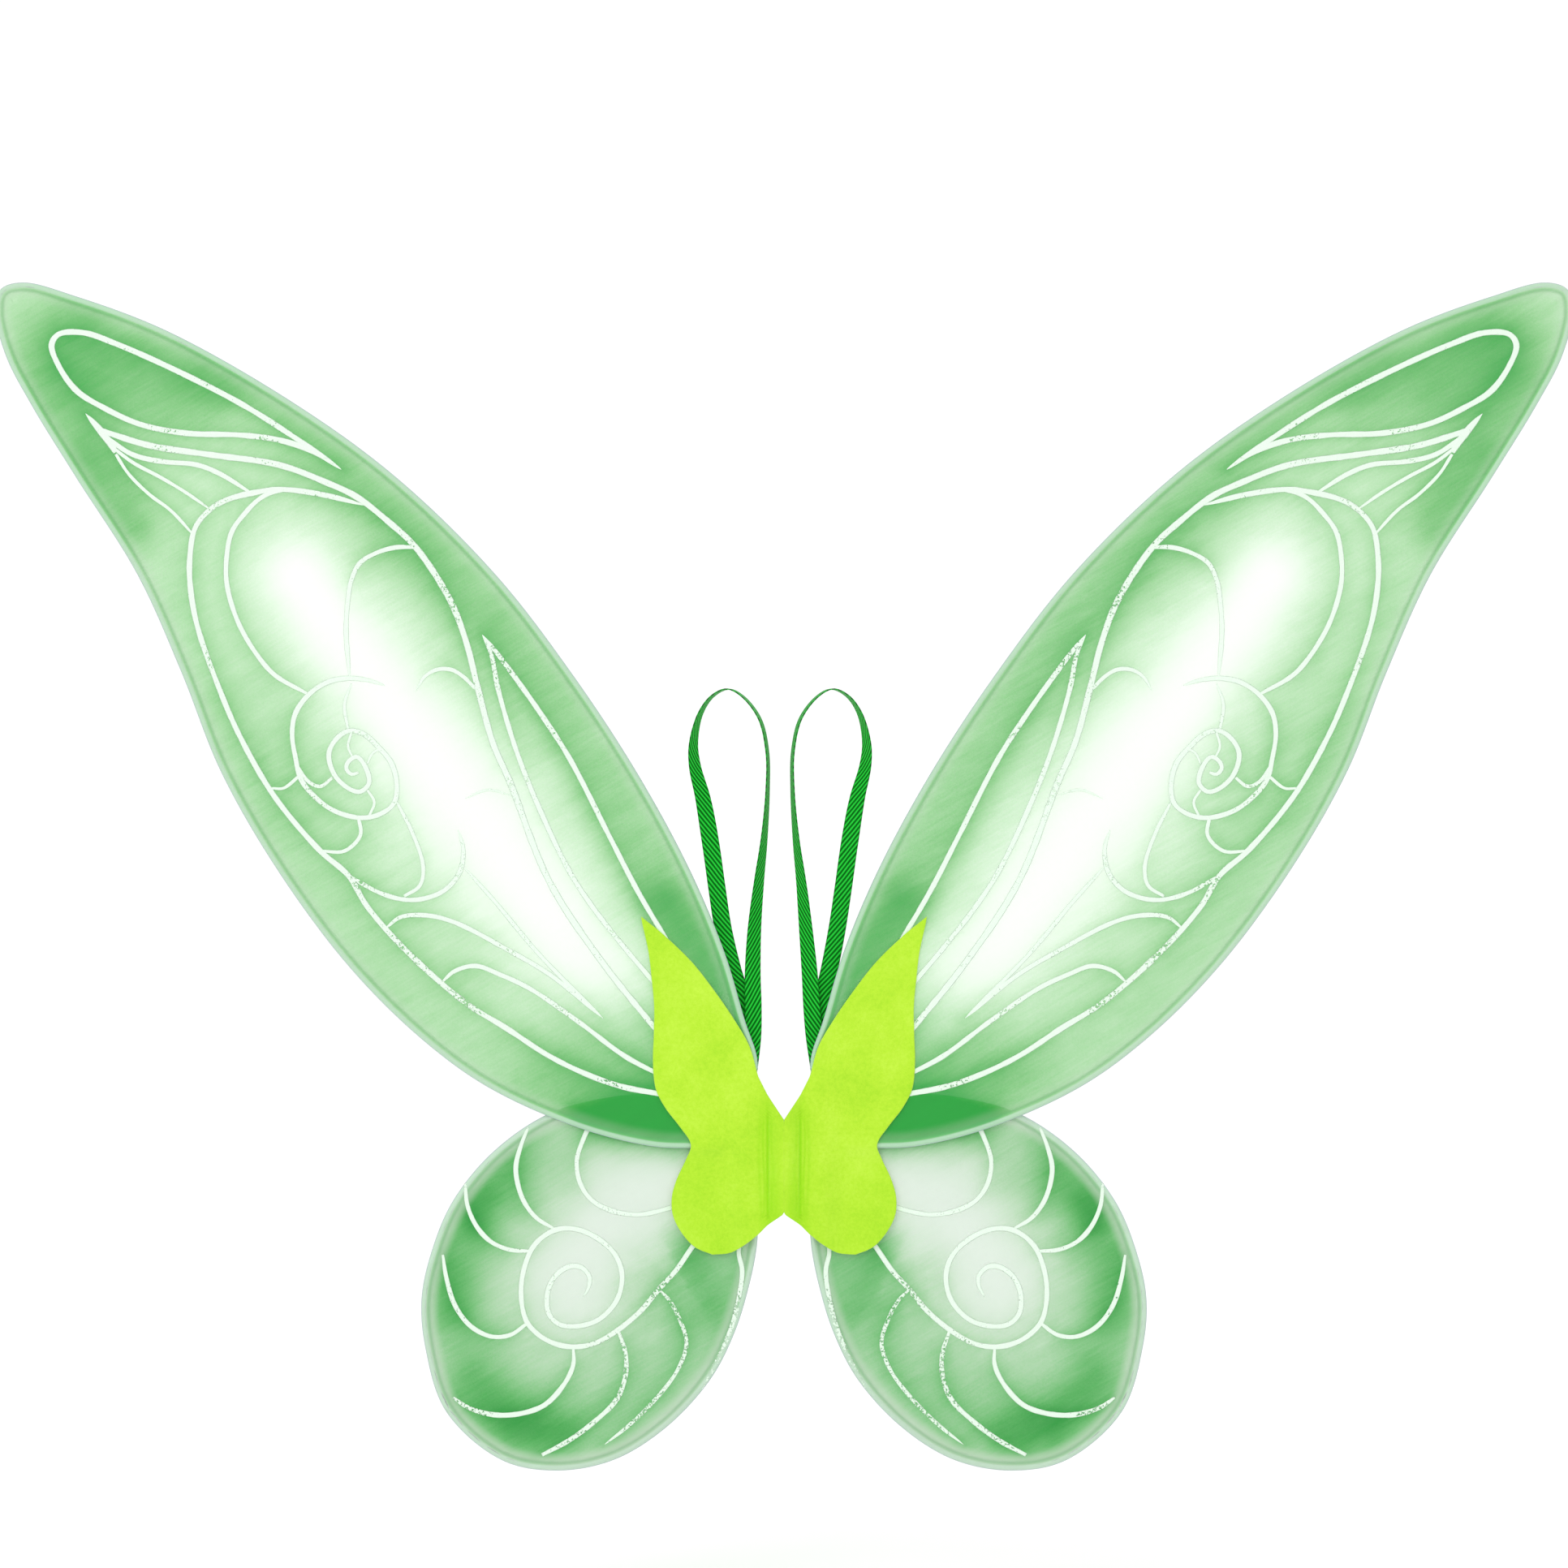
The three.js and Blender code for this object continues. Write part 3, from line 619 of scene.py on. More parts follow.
def brushed_felt(name, look):
    """Thick felt: matted fibres at three scales, with a soft nap, slight unevenness of dye, and painted shade
    in its creases and towards its bottom.
    """
    shade = Shade(name, specular_ior_level=0.12, sheen_weight=look.nap, sheen_roughness=0.55)
    where = shade.place()
    clouds = shade.noise(where, 32, 4, 0.55)
    matted = shade.noise(where, 520, 5, 0.7)
    fibre = shade.noise(shade.place((1, 1, 0.35), (0, math.radians(24), 0)), 1500, 3, 0.6)
    crossing = shade.noise(shade.place((0.35, 1, 1), (0, math.radians(-31), 0)), 1500, 3, 0.6)
    pressed = shade.kept("pressed")
    tone = (clouds * 0.55 + matted * 0.45).limited()
    base = shade.ramp(tone, ((0.28, look.felt_deep[:]), (0.5, look.felt[:]), (0.78, look.felt_light[:])))
    # Painted shade: the felt's colour is pulled towards the shade colour in the creases and towards the
    # bottom.
    creased = shade.mix(pressed * look.crease, base, look.felt_painted_shade[:])
    hairs = shade.mix(fibre.between(0.58, 0.75) * 0.22, creased, look.felt_light[:])
    height = matted * 0.9 + fibre * 0.45 + crossing * 0.45
    shade.feed(base_color=hairs, roughness=0.82 + matted * 0.15, normal=shade.bump(height, 0.0007, 0.55))
    return shade.material


def ribbed_satin(name, look):
    """Satin ribbon: glossy lengthwise floats crossed by slanting ribs, with a firmer woven edge."""
    shade = Shade(name, specular_ior_level=0.05, anisotropic=0.4)
    across = shade.kept("across")
    along = shade.kept("along")
    slanted = along * 190 - across * 1.6
    node = shade.node("ShaderNodeCombineXYZ", {}, {0: slanted, 1: across * 2.0, 2: 0.0})
    ribs = shade.stripes(node.outputs[0], 0.42, distortion=0.9)
    lengthwise = shade.node("ShaderNodeCombineXYZ", {}, {0: across * 9.0, 1: along * 40, 2: 0.0})
    floats = shade.noise(lengthwise.outputs[0], 2.2, 3, 0.6)
    edge = (across * across).between(0.72, 0.93)
    tone = (ribs * 0.75 + floats * 0.5 - 0.12).limited()
    satin = shade.ramp(
        tone, ((0.15, look.ribbon_deep[:]), (0.5, look.ribbon[:]), (0.85, look.ribbon_light[:]))
    )
    edged = shade.mix(edge * 0.4, satin, look.ribbon_deep[:])
    height = ribs * 0.6 + floats * 0.5 + edge * 0.6
    shade.feed(base_color=edged, roughness=0.30 + floats * 0.25, normal=shade.bump(height, 0.00022, 0.7))
    return shade.material


def woven_tape(name, look):
    """Cotton tape in a plain weave."""
    shade = Shade(name, specular_ior_level=0.2, sheen_weight=0.3, sheen_roughness=0.5)
    warp = shade.stripes(shade.place(), 700, "Z")
    weft = shade.stripes(shade.place(turn=(0, 0, math.radians(30))), 700)
    soiled = shade.noise(shade.place(), 260, 4, 0.6)
    tone = (warp * 0.4 + weft * 0.3 + soiled * 0.5).limited()
    cotton = shade.ramp(tone, ((0.2, look.tape_shade[:]), (0.7, look.tape[:])))
    shade.feed(base_color=cotton, roughness=0.75 + soiled * 0.2, normal=shade.bump(warp * weft, 0.0002, 0.8))
    return shade.material


def drawn_steel(name, look):
    """Galvanised spring wire: fine lines drawn along it, with a dull zinc bloom."""
    shade = Shade(name, specular_ior_level=0.5, metallic=1.0)
    bloom = shade.noise(shade.place(), 210, 5, 0.65)
    drawn = shade.noise(shade.place((1, 1, 0.05)), 2600, 2, 0.5)
    spots = shade.noise(shade.place(), 900, 3, 0.7)
    base = shade.ramp(bloom, ((0.3, look.steel_dull[:]), (0.7, look.steel[:])))
    worn = shade.mix(spots.between(0.62, 0.74) * 0.5, base, look.steel_dull[:])
    shade.feed(base_color=worn, roughness=0.24 + bloom * 0.3, normal=shade.bump(drawn, 0.00005, 0.5))
    return shade.material


def pressed_sleeve(name, look):
    """Aluminium crimp: soft satin metal with the press tool's cross lines."""
    shade = Shade(name, specular_ior_level=0.5, metallic=1.0)
    tooled = shade.stripes(shade.place(), 480, "Z", 0.4)
    grey = shade.noise(shade.place(), 300, 4, 0.6)
    base = shade.ramp(grey, ((0.3, look.sleeve_dull[:]), (0.7, look.sleeve[:])))
    shade.feed(base_color=base, roughness=0.32 + grey * 0.25, normal=shade.bump(tooled, 0.00025, 0.8))
    return shade.material


def pale_floor(name, look):
    """Plain matt paper floor with the faintest unevenness."""
    shade = Shade(name, specular_ior_level=0.1, roughness=0.95)
    cloud = shade.noise(shade.place(), 0.6, 2, 0.5)
    base = shade.ramp(cloud, ((0.2, look.floor[:]), (0.8, look.floor_light[:])))
    shade.feed(base_color=base)
    return shade.material


# ---- Wings ----

STEPS = 12
CURVE_STEPS = 8
# Half the thickness of a sheath at distances inside the wire's centre line: it closes in a lip outside the
# wire, goes round it and then lies together as two layers. Both in millimetres.
WRAP_AT = (-1.75, -1.45, -1.15, -0.8, -0.48, 0, 0.48, 0.8, 1.2, 1.8, 2.6, 4, 7)
WRAP_HALF = (0, 0.45, 0.75, 1.06, 1.27, 1.36, 1.27, 1.08, 0.86, 0.64, 0.49, 0.40, 0.35)
RIM_COLUMNS = (-1.75, -1.45, -1.15, -0.8, -0.48, 0, 0.48, 0.8, 1.2, 1.8, 2.4, 3.1, 4, 5.4, 7.4)
RIM_SPAN = RIM_COLUMNS[-1] * MM
RIM_FADE_SPAN = 8 * MM
DEEPEST_DYE = 1.25
MERGE = 0.004 * MM
SLIVER = 0.002 * MM


def bow(x, z):
    """How far a wing bows towards the decorated side."""
    out = np.maximum(0, np.hypot(x, z) - BOW_START) / BOW_RUN
    return -BOW_DEPTH * out * out


class Wing:
    """One kind of wing, as the right hand has it: its wire's line, its sheath and what is painted on it."""

    def __init__(self, name, blade, reach, height, y, turn, early, columns, art):
        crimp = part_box(f"right_{name}_wire_crimp")
        tip_of_wire = crimp[1].z if turn > 0 else crimp[0].z
        shank = WIRE_END * turn
        lap_x = (crimp[0].x + crimp[1].x) - SHANK_X
        corner_z = height * blade[-1][1] / 100 if turn > 0 else LOWER_CORNER_Z
        points = [(SHANK_X, tip_of_wire + shank)]
        points += [(reach * x / 100, height * z / 100) for x, z in blade]
        points += [(lap_x + 3 * CORNER, corner_z)]
        self.name = name
        self.y = y
        self.turn = turn
        self.early = early
        self.columns = columns
        self.art = art
        self.line = spline(points, STEPS)
        steps = np.diff(self.line, axis=0)
        tangents = np.vstack((steps[:1], (steps[1:] + steps[:-1]) / 2, steps[-1:]))
        tangents /= np.linalg.norm(tangents, axis=1)[:, None]
        self.inward = turn * np.column_stack((tangents[:, 1], -tangents[:, 0]))
        self.along = np.concatenate(([0], np.cumsum(np.linalg.norm(steps, axis=1))))

    def inset(self, x, z):
        """How far inside the wire's centre line each place is, and how far round the wire that is."""
        best = np.full(x.shape, FAR)
        signed = np.zeros(x.shape)
        round_it = np.zeros(x.shape)
        for i, (a, b) in enumerate(zip(self.line, self.line[1:])):
            run = b - a
            share = np.clip(((x - a[0]) * run[0] + (z - a[1]) * run[1]) / (run @ run), 0, 1)
            off_x = x - a[0] - share * run[0]
            off_z = z - a[1] - share * run[1]
            away = np.hypot(off_x, off_z)
            inward = self.turn * (off_x * run[1] - off_z * run[0])
            nearer = away < best
            best = np.where(nearer, away, best)
            signed = np.where(nearer, np.where(inward >= 0, away, -away), signed)
            round_it = np.where(nearer, self.along[i] + share * np.linalg.norm(run), round_it)
        return signed, round_it

    def middle(self, x, z, inset, round_it):
        """The place along Y of the sheath's middle: bowed, with slack ripples away from the wire."""
        slack = smoothstep(3 * MM, 30 * MM, inset)
        wave = 0.34 * np.sin(x / (31 * MM) + z / (47 * MM) + 0.7)
        wave += 0.22 * np.sin(z / (19 * MM) - x / (27 * MM))
        pull = np.exp(-np.maximum(inset, 0) / (9 * MM)) * smoothstep(1.5 * MM, 6 * MM, inset)
        pucker = 0.10 * np.sin(round_it / (2.1 * MM)) * np.sin(round_it / (23 * MM) + 1.3) * pull
        return self.y + bow(x, z) + (wave * slack + pucker) * MM

    def rows(self):
        """Flat places of the sheath's grid, from the root to the tip."""
        middle = (len(self.line) - 1) // 2
        last = len(self.line) - 1
        rows = []
        for i in range(self.early, middle + 1):
            inner, outer = self.line[i], self.line[last - i]
            room = 0.46 * np.linalg.norm(outer - inner)
            squeeze = min(1, room / RIM_SPAN)
            offsets = [d * MM * (squeeze if d > 0 else 1) for d in RIM_COLUMNS]
            left = [inner + self.inward[i] * d for d in offsets]
            right = [outer + self.inward[last - i] * d for d in reversed(offsets)]
            inside = [
                left[-1] + (right[0] - left[-1]) * k / self.columns for k in range(1, self.columns)
            ]
            rows.append(left + inside + right)
        return np.array(rows)


UPPER = Wing(
    "upper", UPPER_BLADE, UPPER_REACH, UPPER_RISE, UPPER_Y, turn=1, early=5, columns=52,
    art={
        "veins": UPPER_VEINS, "light": UPPER_LIGHT, "dark": UPPER_DARK, "rubbed": UPPER_RUBBED,
        "dye": 0.44, "rim_fade": 0.06, "seed": 11,
    },
)
LOWER = Wing(
    "lower", LOWER_BLADE, LOWER_REACH, LOWER_DROP, LOWER_Y, turn=-1, early=3, columns=46,
    art={
        "veins": LOWER_VEINS, "light": LOWER_LIGHT, "dark": LOWER_DARK, "rubbed": LOWER_RUBBED,
        "dye": 0.52, "rim_fade": 0.42, "seed": 12,
    },
)


def airbrush(x, z, stroke):
    """How much of a soft stroke lands on each place, from 1 on its middle line."""
    away, width = stroke_distance(x, z, np.array(stroke) * MM)
    return np.exp(-0.6 * (away / width) ** 2)


def wing_dye(wing, x, z):
    """How deep the dye is: the base, lightened and deepened by the airbrush, and greener beside the veins."""
    depth = np.full(x.shape, wing.art["dye"])
    for amount, stroke in wing.art["light"]:
        depth *= 1 - amount * airbrush(x, z, stroke)
    for amount, stroke in wing.art["dark"]:
        depth += amount * airbrush(x, z, stroke)
    depth *= 1 - wing.art["rim_fade"] * np.exp(-wing.inset(x, z)[0] / RIM_FADE_SPAN)
    near = np.full(x.shape, FAR)
    for _, _, _, points in wing.art["veins"]:
        near = np.minimum(near, stroke_distance(x, z, np.array(points) * MM)[0])
    beside = 0.16 * np.exp(-near / (5 * MM)) + 0.10 * np.exp(-near / (16 * MM))
    return np.clip(depth + beside * smoothstep(0.02, 0.4, depth), 0, DEEPEST_DYE)


def sheath_mesh(name, wing, side):
    """A closed double sheath on one wing's wire, with its dye and its distance from the wire painted on."""
    flat = wing.rows()
    x, z = flat[..., 0], flat[..., 1]
    inset, round_it = wing.inset(x, z)
    half = np.interp(inset / MM, WRAP_AT, WRAP_HALF) * MM
    half[:, 0] = 0
    half[:, -1] = 0
    piece = two_faced(name, side, flat, wing.middle(x, z, inset, round_it), half)
    places = flat_places(piece)
    paint(piece, "dye", wing_dye(wing, *places))
    paint(piece, "rim", wing.inset(*places)[0] / MM)
    return piece


def two_faced(name, side, flat, middle, half):
    """A closed cloth over a grid of flat places, its two faces a half thickness from its middle."""
    rows, columns, _ = flat.shape
    x, z = flat[..., 0], flat[..., 1]
    front, back = (
        np.stack((side * x, middle + face * half, z), -1).reshape(-1, 3) for face in (-1, 1)
    )
    return closed_cloth(name, front, back, rows, columns)


def closed_cloth(name, front, back, rows, columns):
    """Joins a front and a back grid whose rims meet, hems the open ones, and drops what has no area."""
    piece = new_mesh(name, np.vstack((front, back)), twin_grid_faces(rows, columns))
    build = bmesh.new()
    build.from_mesh(piece.data)
    bmesh.ops.remove_doubles(build, verts=build.verts, dist=MERGE)
    bmesh.ops.dissolve_degenerate(build, dist=SLIVER, edges=build.edges)
    bmesh.ops.recalc_face_normals(build, faces=build.faces)
    build.to_mesh(piece.data)
    build.free()
    shade_smooth(piece.data)
    return piece


# A vein's bead: its section as (share of the half width, height in millimetres), the spacing of its rings,
# how far its ends taper and how thin they get, how rough its rim is and how far it stands off the cloth.
VEIN_SECTION = ((-1, 0.01), (-0.7, 0.09), (0, 0.12), (0.7, 0.09), (1, 0.01), (0, -0.1))
VEIN_STEP = 1.4 * MM
VEIN_TAPER = 7 * MM
VEIN_THINNEST = 0.06
VEIN_ROUGH = 0.10
VEIN_LIFT = 0.05 * MM


def vein_mesh(name, wing, side):
    """All the glitter lines of one wing, each a low rounded bead that thins out at its ends."""
    rng = np.random.default_rng(wing.art["seed"])
    points, faces = [], []
    for width, sharp_start, sharp_end, given in wing.art["veins"]:
        line = even(spline(np.array(given, float) * MM, CURVE_STEPS), VEIN_STEP)
        steps = np.gradient(line, axis=0)
        steps /= np.linalg.norm(steps, axis=1)[:, None]
        across = np.column_stack((steps[:, 1], -steps[:, 0]))
        total = line_length(line)
        along = np.linspace(0, total, len(line))
        thin = 1 - sharp_start * np.exp(-along / VEIN_TAPER)
        thin = thin - sharp_end * np.exp(-(total - along) / VEIN_TAPER)
        rough = np.convolve(rng.normal(0, 1, len(line) + 4), np.ones(5) / 5, "valid")
        half = width * MM / 2 * np.clip(thin, VEIN_THINNEST, 1) * (1 + VEIN_ROUGH * rough)
        start = len(points)
        for place, reach, turn in zip(line, half, across):
            for share, height in VEIN_SECTION:
                x, z = place + turn * reach * share
                points.append((x, height * min(1, reach / MM) * MM, z))
        faces += loft_faces(len(line), len(VEIN_SECTION), start)
    points = np.array(points)
    x, z = points[:, 0], points[:, 2]
    inset, round_it = wing.inset(x, z)
    half = np.interp(inset / MM, WRAP_AT, WRAP_HALF) * MM
    y = wing.middle(x, z, inset, round_it) - half - VEIN_LIFT - points[:, 1]
    piece = new_mesh(name, np.column_stack((side * x, y, z)), faces)
    crackle = 0.5 + 0.5 * np.sin(x / (9 * MM)) * np.sin(z / (13 * MM) + 1)
    worn = 0.55 + 0.42 * crackle
    for amount, stroke in wing.art["rubbed"]:
        worn += amount * airbrush(x, z, stroke)
    paint(piece, "kept", worn)
    return piece


# ---- Felt ----

# Columns of the felt's mesh from its inner side, in millimetres, closer together at the crease, and from its
# outer rim inwards. Then the rows next to its top and bottom edge.
FELT_BAND_COLUMNS = (
    0, 0.2, 0.5, 1, 2, 3.2, 4.6, 6, 7.2, 8, 8.5, 8.9, 9.2, 9.5, 9.8, 10.2, 10.6, 11, 11.4, 11.8, 12.3, 12.8,
    13.4, 14.2, 15, 16,
)
FELT_BAND_SPAN = FELT_BAND_COLUMNS[-1] * MM
FELT_RIM_COLUMNS = (2.4, 1.2, 0.6, 0.25, 0)
FELT_RIM_SPAN = 8 * MM
FELT_EDGE_ROWS = (0, 0.05, 0.2, 0.5, 0.9, 1.5, 2.3)
EDGE_ROUND = 0.7 * MM


def percent_curve(points, reach, top, bottom):
    full = [(x * reach / 100, z * (bottom if z < 0 else top) / 100) for x, z in points]
    return spline(full, CURVE_STEPS)


class FeltHalf:
    """The right half of a felt piece, from its outer side in to its middle cut, as rows of height."""

    def __init__(self, outer, inner_top, inner_bottom, band_top, band_bottom, notch):
        self.outer = outer
        upper = [*inner_top, (CREASE_X, band_top), (0, notch)]
        lower = [(0, -notch), (CREASE_X, -band_bottom), *inner_bottom]
        self.inner = np.array([*upper, *lower])
        self.edge = [outer, np.array(upper), np.array(lower)]
        self.top = self.outer[0][1]
        self.bottom = self.outer[-1][1]

    def sides(self, height):
        def at(line):
            order = np.argsort(line[:, 1], kind="stable")
            return np.interp(height, line[order, 1], line[order, 0])
        return at(self.inner), at(self.outer)

    def edge_distance(self, x, z):
        return np.minimum.reduce([stroke_distance(x, z, line)[0] for line in self.edge])

    def rows(self, heights, spread):
        rows = []
        for height in heights:
            inner, outer = self.sides(height)
            width = max(outer - inner, 0)
            band = min(FELT_BAND_SPAN, width / 2)
            near = [inner + c * MM * band / FELT_BAND_SPAN for c in FELT_BAND_COLUMNS]
            rest = width - band
            rim = [r * MM * min(1, rest / FELT_RIM_SPAN) for r in FELT_RIM_COLUMNS]
            far = [inner + band + (rest - rim[0]) * k / spread for k in range(1, spread + 1)]
            rows.append([(x, height) for x in near + far + [outer - r for r in rim[1:]]])
        return np.array(rows)


def felt_heights(half, step):
    """Heights of the rows: even, and closer together towards the top and the bottom edge."""
    low = [half.bottom + c * MM for c in FELT_EDGE_ROWS]
    high = [half.top - c * MM for c in reversed(FELT_EDGE_ROWS)]
    count = round((high[0] - low[-1]) / step)
    return np.array(low[:-1] + list(np.linspace(low[-1], high[0], count)) + high[1:])


def felt_mesh(name, half, side, surface, step, spread):
    """A half of thick felt whose front lies a thickness in front of a surface, with soft cut edges."""
    flat = half.rows(felt_heights(half, step), spread)
    x, z = flat[..., 0], flat[..., 1]
    share = np.clip(half.edge_distance(x, z) / EDGE_ROUND, 0, 1)
    plump = np.sqrt(1 - (1 - share) ** 2)
    middle = surface(x, z)[0] - FELT / 2
    piece = two_faced(name, side, flat, middle, FELT / 2 * plump)
    # The surface also gives the painted shade: darker in the wrinkles, beside the crease and towards the
    # bottom lobe.
    paint(piece, "pressed", surface(*flat_places(piece))[1])
    return piece


# Wrinkles beside the crease, in millimetres: depth, half width, distance outside the crease, and how far each
# one wavers from side to side, over what length and from what start.
WRINKLES = (
    (0.42, 0.9, 0, 0, 1, 0),
    (0.24, 0.7, 2.2, 0.5, 9, 0),
    (0.18, 0.9, 4.3, 0.7, 13, 1),
    (0.20, 0.7, -2.4, -0.4, 7, 2),
)


def creases(x, z):
    """Fine upright wrinkles beside the crease, in millimetres, and how much painted shade darkens the felt
    there: in the wrinkles, inside and outside the crease and towards the bottom lobe.
    """
    off = x / MM - CREASE_X / MM
    tall = 1 - smoothstep(24 * MM, 46 * MM, np.abs(z))
    folds = 0
    for depth, width, place, waver, length, start in WRINKLES:
        middle = place + waver * np.sin(z / (length * MM) + start)
        folds = folds + depth * np.exp(-((off - middle) / width) ** 2)
    folds = folds * tall
    low = 1 - smoothstep(-26 * MM, 8 * MM, z)
    outside = np.exp(-(off / 8) ** 2) * np.where(off > 0, 1 - 0.7 * low, 1)
    within = np.exp(-((off + 4.6) / 2.8) ** 2) * (0.6 + low)
    lobe = 1 - smoothstep(-30 * MM, 40 * MM, z)
    # Painted shade beside the crease, inside the band and on the lower lobe, added to the painted shade in
    # the wrinkles.
    shaded = (0.22 * outside + 0.22 * within) * tall + 0.13 * lobe
    return folds, np.clip(folds * 2.1 + shaded, 0, 1)


# How far the cover's back lies in front of the lower wings' middle, how much nearer to the upper ones' it
# lies, how far each wire holds it out, and how wide the felt spreads over a wire.
COVER_REST = 2.0 * MM
COVER_SINK = 1.3 * MM
OVER_UPPER = 1.55 * MM
OVER_LOWER = 1.75 * MM
WIRE_SPREAD = 4.5 * MM
# The felt goes over several heights at once in a blend of their peak and a soft sum, in these shares.
PEAK_SHARE = 0.4
SOFT_SHARE = 0.6
SOFT_POWER = 6


def cover_surface(x, z):
    """The back of the felt cover: arched over the core, held out by the wires and resting on the wings."""
    share = np.clip(x / CREASE_X, 0, 1)
    arch = COVER_BACK - RIDGE * np.cos(share * math.pi / 2)
    rest = LOWER_Y - COVER_REST + (UPPER_Y - LOWER_Y + COVER_SINK) * smoothstep(-4 * MM, 22 * MM, z)
    held = 1 - smoothstep(20 * MM, 36 * MM, x)
    held = held * (1 - smoothstep(44 * MM, 62 * MM, z))
    panel = rest + (COVER_BACK - rest) * held
    raised = [panel]
    for wing, stand_off in ((UPPER, OVER_UPPER), (LOWER, OVER_LOWER)):
        near = np.exp(-(wing.inset(x, z)[0] / WIRE_SPREAD) ** 2)
        raised.append(rest + (wing.y - stand_off - rest) * near)
    heights = [np.maximum(-(y - rest) / MM, 0) for y in raised]
    lifted = np.maximum.reduce(heights) * PEAK_SHARE
    lifted += sum(h ** SOFT_POWER for h in heights) ** (1 / SOFT_POWER) * SOFT_SHARE
    settled = rest - lifted * MM
    inside = 1 - smoothstep(CREASE_X - 0.3 * MM, CREASE_X + 0.3 * MM, x)
    # creases() also gives the painted shade that the felt's colour reads.
    folds, pressed = creases(x, z)
    sag = 0.10 * np.sin(x / (8 * MM) + 0.4) * np.sin(z / (11 * MM)) * smoothstep(14 * MM, 30 * MM, x)
    return settled + (arch - settled) * inside + (folds + sag) * MM, pressed


def pad_surface(x, z):
    """The wearer's side of the back pad: flat where it meets the back, eased forward at its rim."""
    ease = smoothstep(38 * MM, 62 * MM, np.hypot(x, z * 0.8))
    folds, pressed = creases(x, z)
    # The pad carries a little less of the same painted shade.
    return -(ease * 1.1 + folds * 0.6) * MM, pressed * 0.8


# ---- Ribbon ----

# The ribbon's section, in shares of its half width and its thickness: one face, and the other turned round.
RIBBON_FACE = (
    (-1, 0), (-0.97, 0.32), (-0.9, 0.5), (-0.6, 0.46), (-0.2, 0.5), (0.2, 0.5), (0.6, 0.46), (0.9, 0.5),
    (0.97, 0.32),
)
RIBBON_SECTION = (*RIBBON_FACE, *((-x, -y) for x, y in RIBBON_FACE))


def unit(vectors):
    return vectors / np.linalg.norm(vectors, axis=-1, keepdims=True)


def ribbon_mesh(name, line, across):
    """A ribbon of even width along a line, its width lying along the given directions."""
    along = unit(np.gradient(line, axis=0))
    across = unit(across - along * np.sum(across * along, axis=1)[:, None])
    through = np.cross(along, across)
    section = np.array(RIBBON_SECTION)
    rings = (
        line[:, None, :]
        + across[:, None, :] * (section[:, 0] * RIBBON / 2)[None, :, None]
        + through[:, None, :] * (section[:, 1] * RIBBON_THICK)[None, :, None]
    )
    sides = len(RIBBON_SECTION)
    piece = new_mesh(name, rings.reshape(-1, 3), loft_faces(len(line), sides))
    places = np.concatenate(([0], np.cumsum(np.linalg.norm(np.diff(line, axis=0), axis=1))))
    paint(piece, "across", np.tile(section[:, 0], len(line)))
    paint(piece, "along", np.repeat(places, sides))
    return piece


def ribbon_route(side, lean):
    """Centre line of an arm loop from its outer foot to its inner one, and the direction of its width."""
    points = [(x * MM, SEAT_Y + HALF_LAYER, z * MM) for x, z in OUTER_LEG]
    points += [(x * MM, SEAT_Y - HALF_LAYER, z * MM) for x, z in INNER_LEG]
    points = np.array(points)
    points[:, 0] -= lean * smoothstep(*LEAN_HEIGHTS, points[:, 2])
    line = even(spline(points, 24), 2 * MM)
    foot = np.array((0, 0, -1.5 * MM))
    line = np.vstack((line[0] + foot, line, line[-1] + foot))
    crown = int(np.argmax(line[:, 2]))
    turn = np.concatenate((
        smoothstep(*OUTER_TWIST, line[:crown, 2]), smoothstep(*INNER_TWIST, line[crown:, 2]),
    )) * EDGE_ON
    across = np.column_stack((np.cos(turn), -np.sin(turn), np.zeros(len(line))))
    flip = np.array((side, 1, 1))
    return line * flip, across * flip


# ---- Settings that a user can change ----

def colour(label, code):
    return bpy.props.FloatVectorProperty(
        name=label, description=f"{label}, as a linear colour", subtype="COLOR", size=3,
        min=0, max=1, default=srgb(code),
    )


def share(label, description, value):
    return bpy.props.FloatProperty(
        name=label, description=description, subtype="FACTOR", min=0, max=1, default=value,
    )


def distance(label, description, low, high, value):
    return bpy.props.FloatProperty(
        name=label, description=description, subtype="DISTANCE", unit="LENGTH", min=low, max=high,
        default=value,
    )


def watts(label, description, value):
    return bpy.props.FloatProperty(
        name=label, description=description, subtype="POWER", unit="POWER", min=0, max=500, default=value,
    )


class FAIRY_PG_cloth(bpy.types.PropertyGroup):
    """Colours and finish of the sheer wings and their glitter."""
    white: colour("Upper wing highlight", "fdfffc")
    pale: colour("Upper wing pale dye", "c5e9c0")
    middle: colour("Upper wing middle dye", "8dcf86")
    green: colour("Upper wing green dye", "4eb64e")
    deep: colour("Upper wing deep dye", "0ca036")
    lower_white: colour("Lower wing highlight", "dde6de")
    lower_pale: colour("Lower wing pale dye", "b6d6b3")
    lower_middle: colour("Lower wing middle dye", "7ac27a")
    lower_green: colour("Lower wing green dye", "3cad46")
    lower_deep: colour("Lower wing deep dye", "048c2c")
    edge_light: colour("Light along the wire", "c8dfcf")
    turned_in: colour("Cloth turned in along the wire", "b6cfb4")
    edge_shadow: colour("Shadow line inside the wire", "2f8f4a")
    cut_edge: colour("Closed rim outside the wire", "9fb0bb")
    glitter: colour("Glitter", "e8fae9")
    glitter_shade: colour("Glitter's darker grains", "cfeacf")
    glitter_worn: colour("Worn glitter", "bfe6c0")
    cover: share("Cover", "How opaque one layer of the upper wings is", 0.60)
    lower_cover: share("Lower cover", "How opaque one layer of the lower wings is", 0.66)
    hem: share("Hem", "How much the turned-in cloth pales the upper wings' rims", 0.22)
    lower_hem: share("Lower hem", "How much the turned-in cloth pales the lower wings' rims", 0.62)
    sheen: share("Sheen", "Soft shine of the nylon", 0.25)


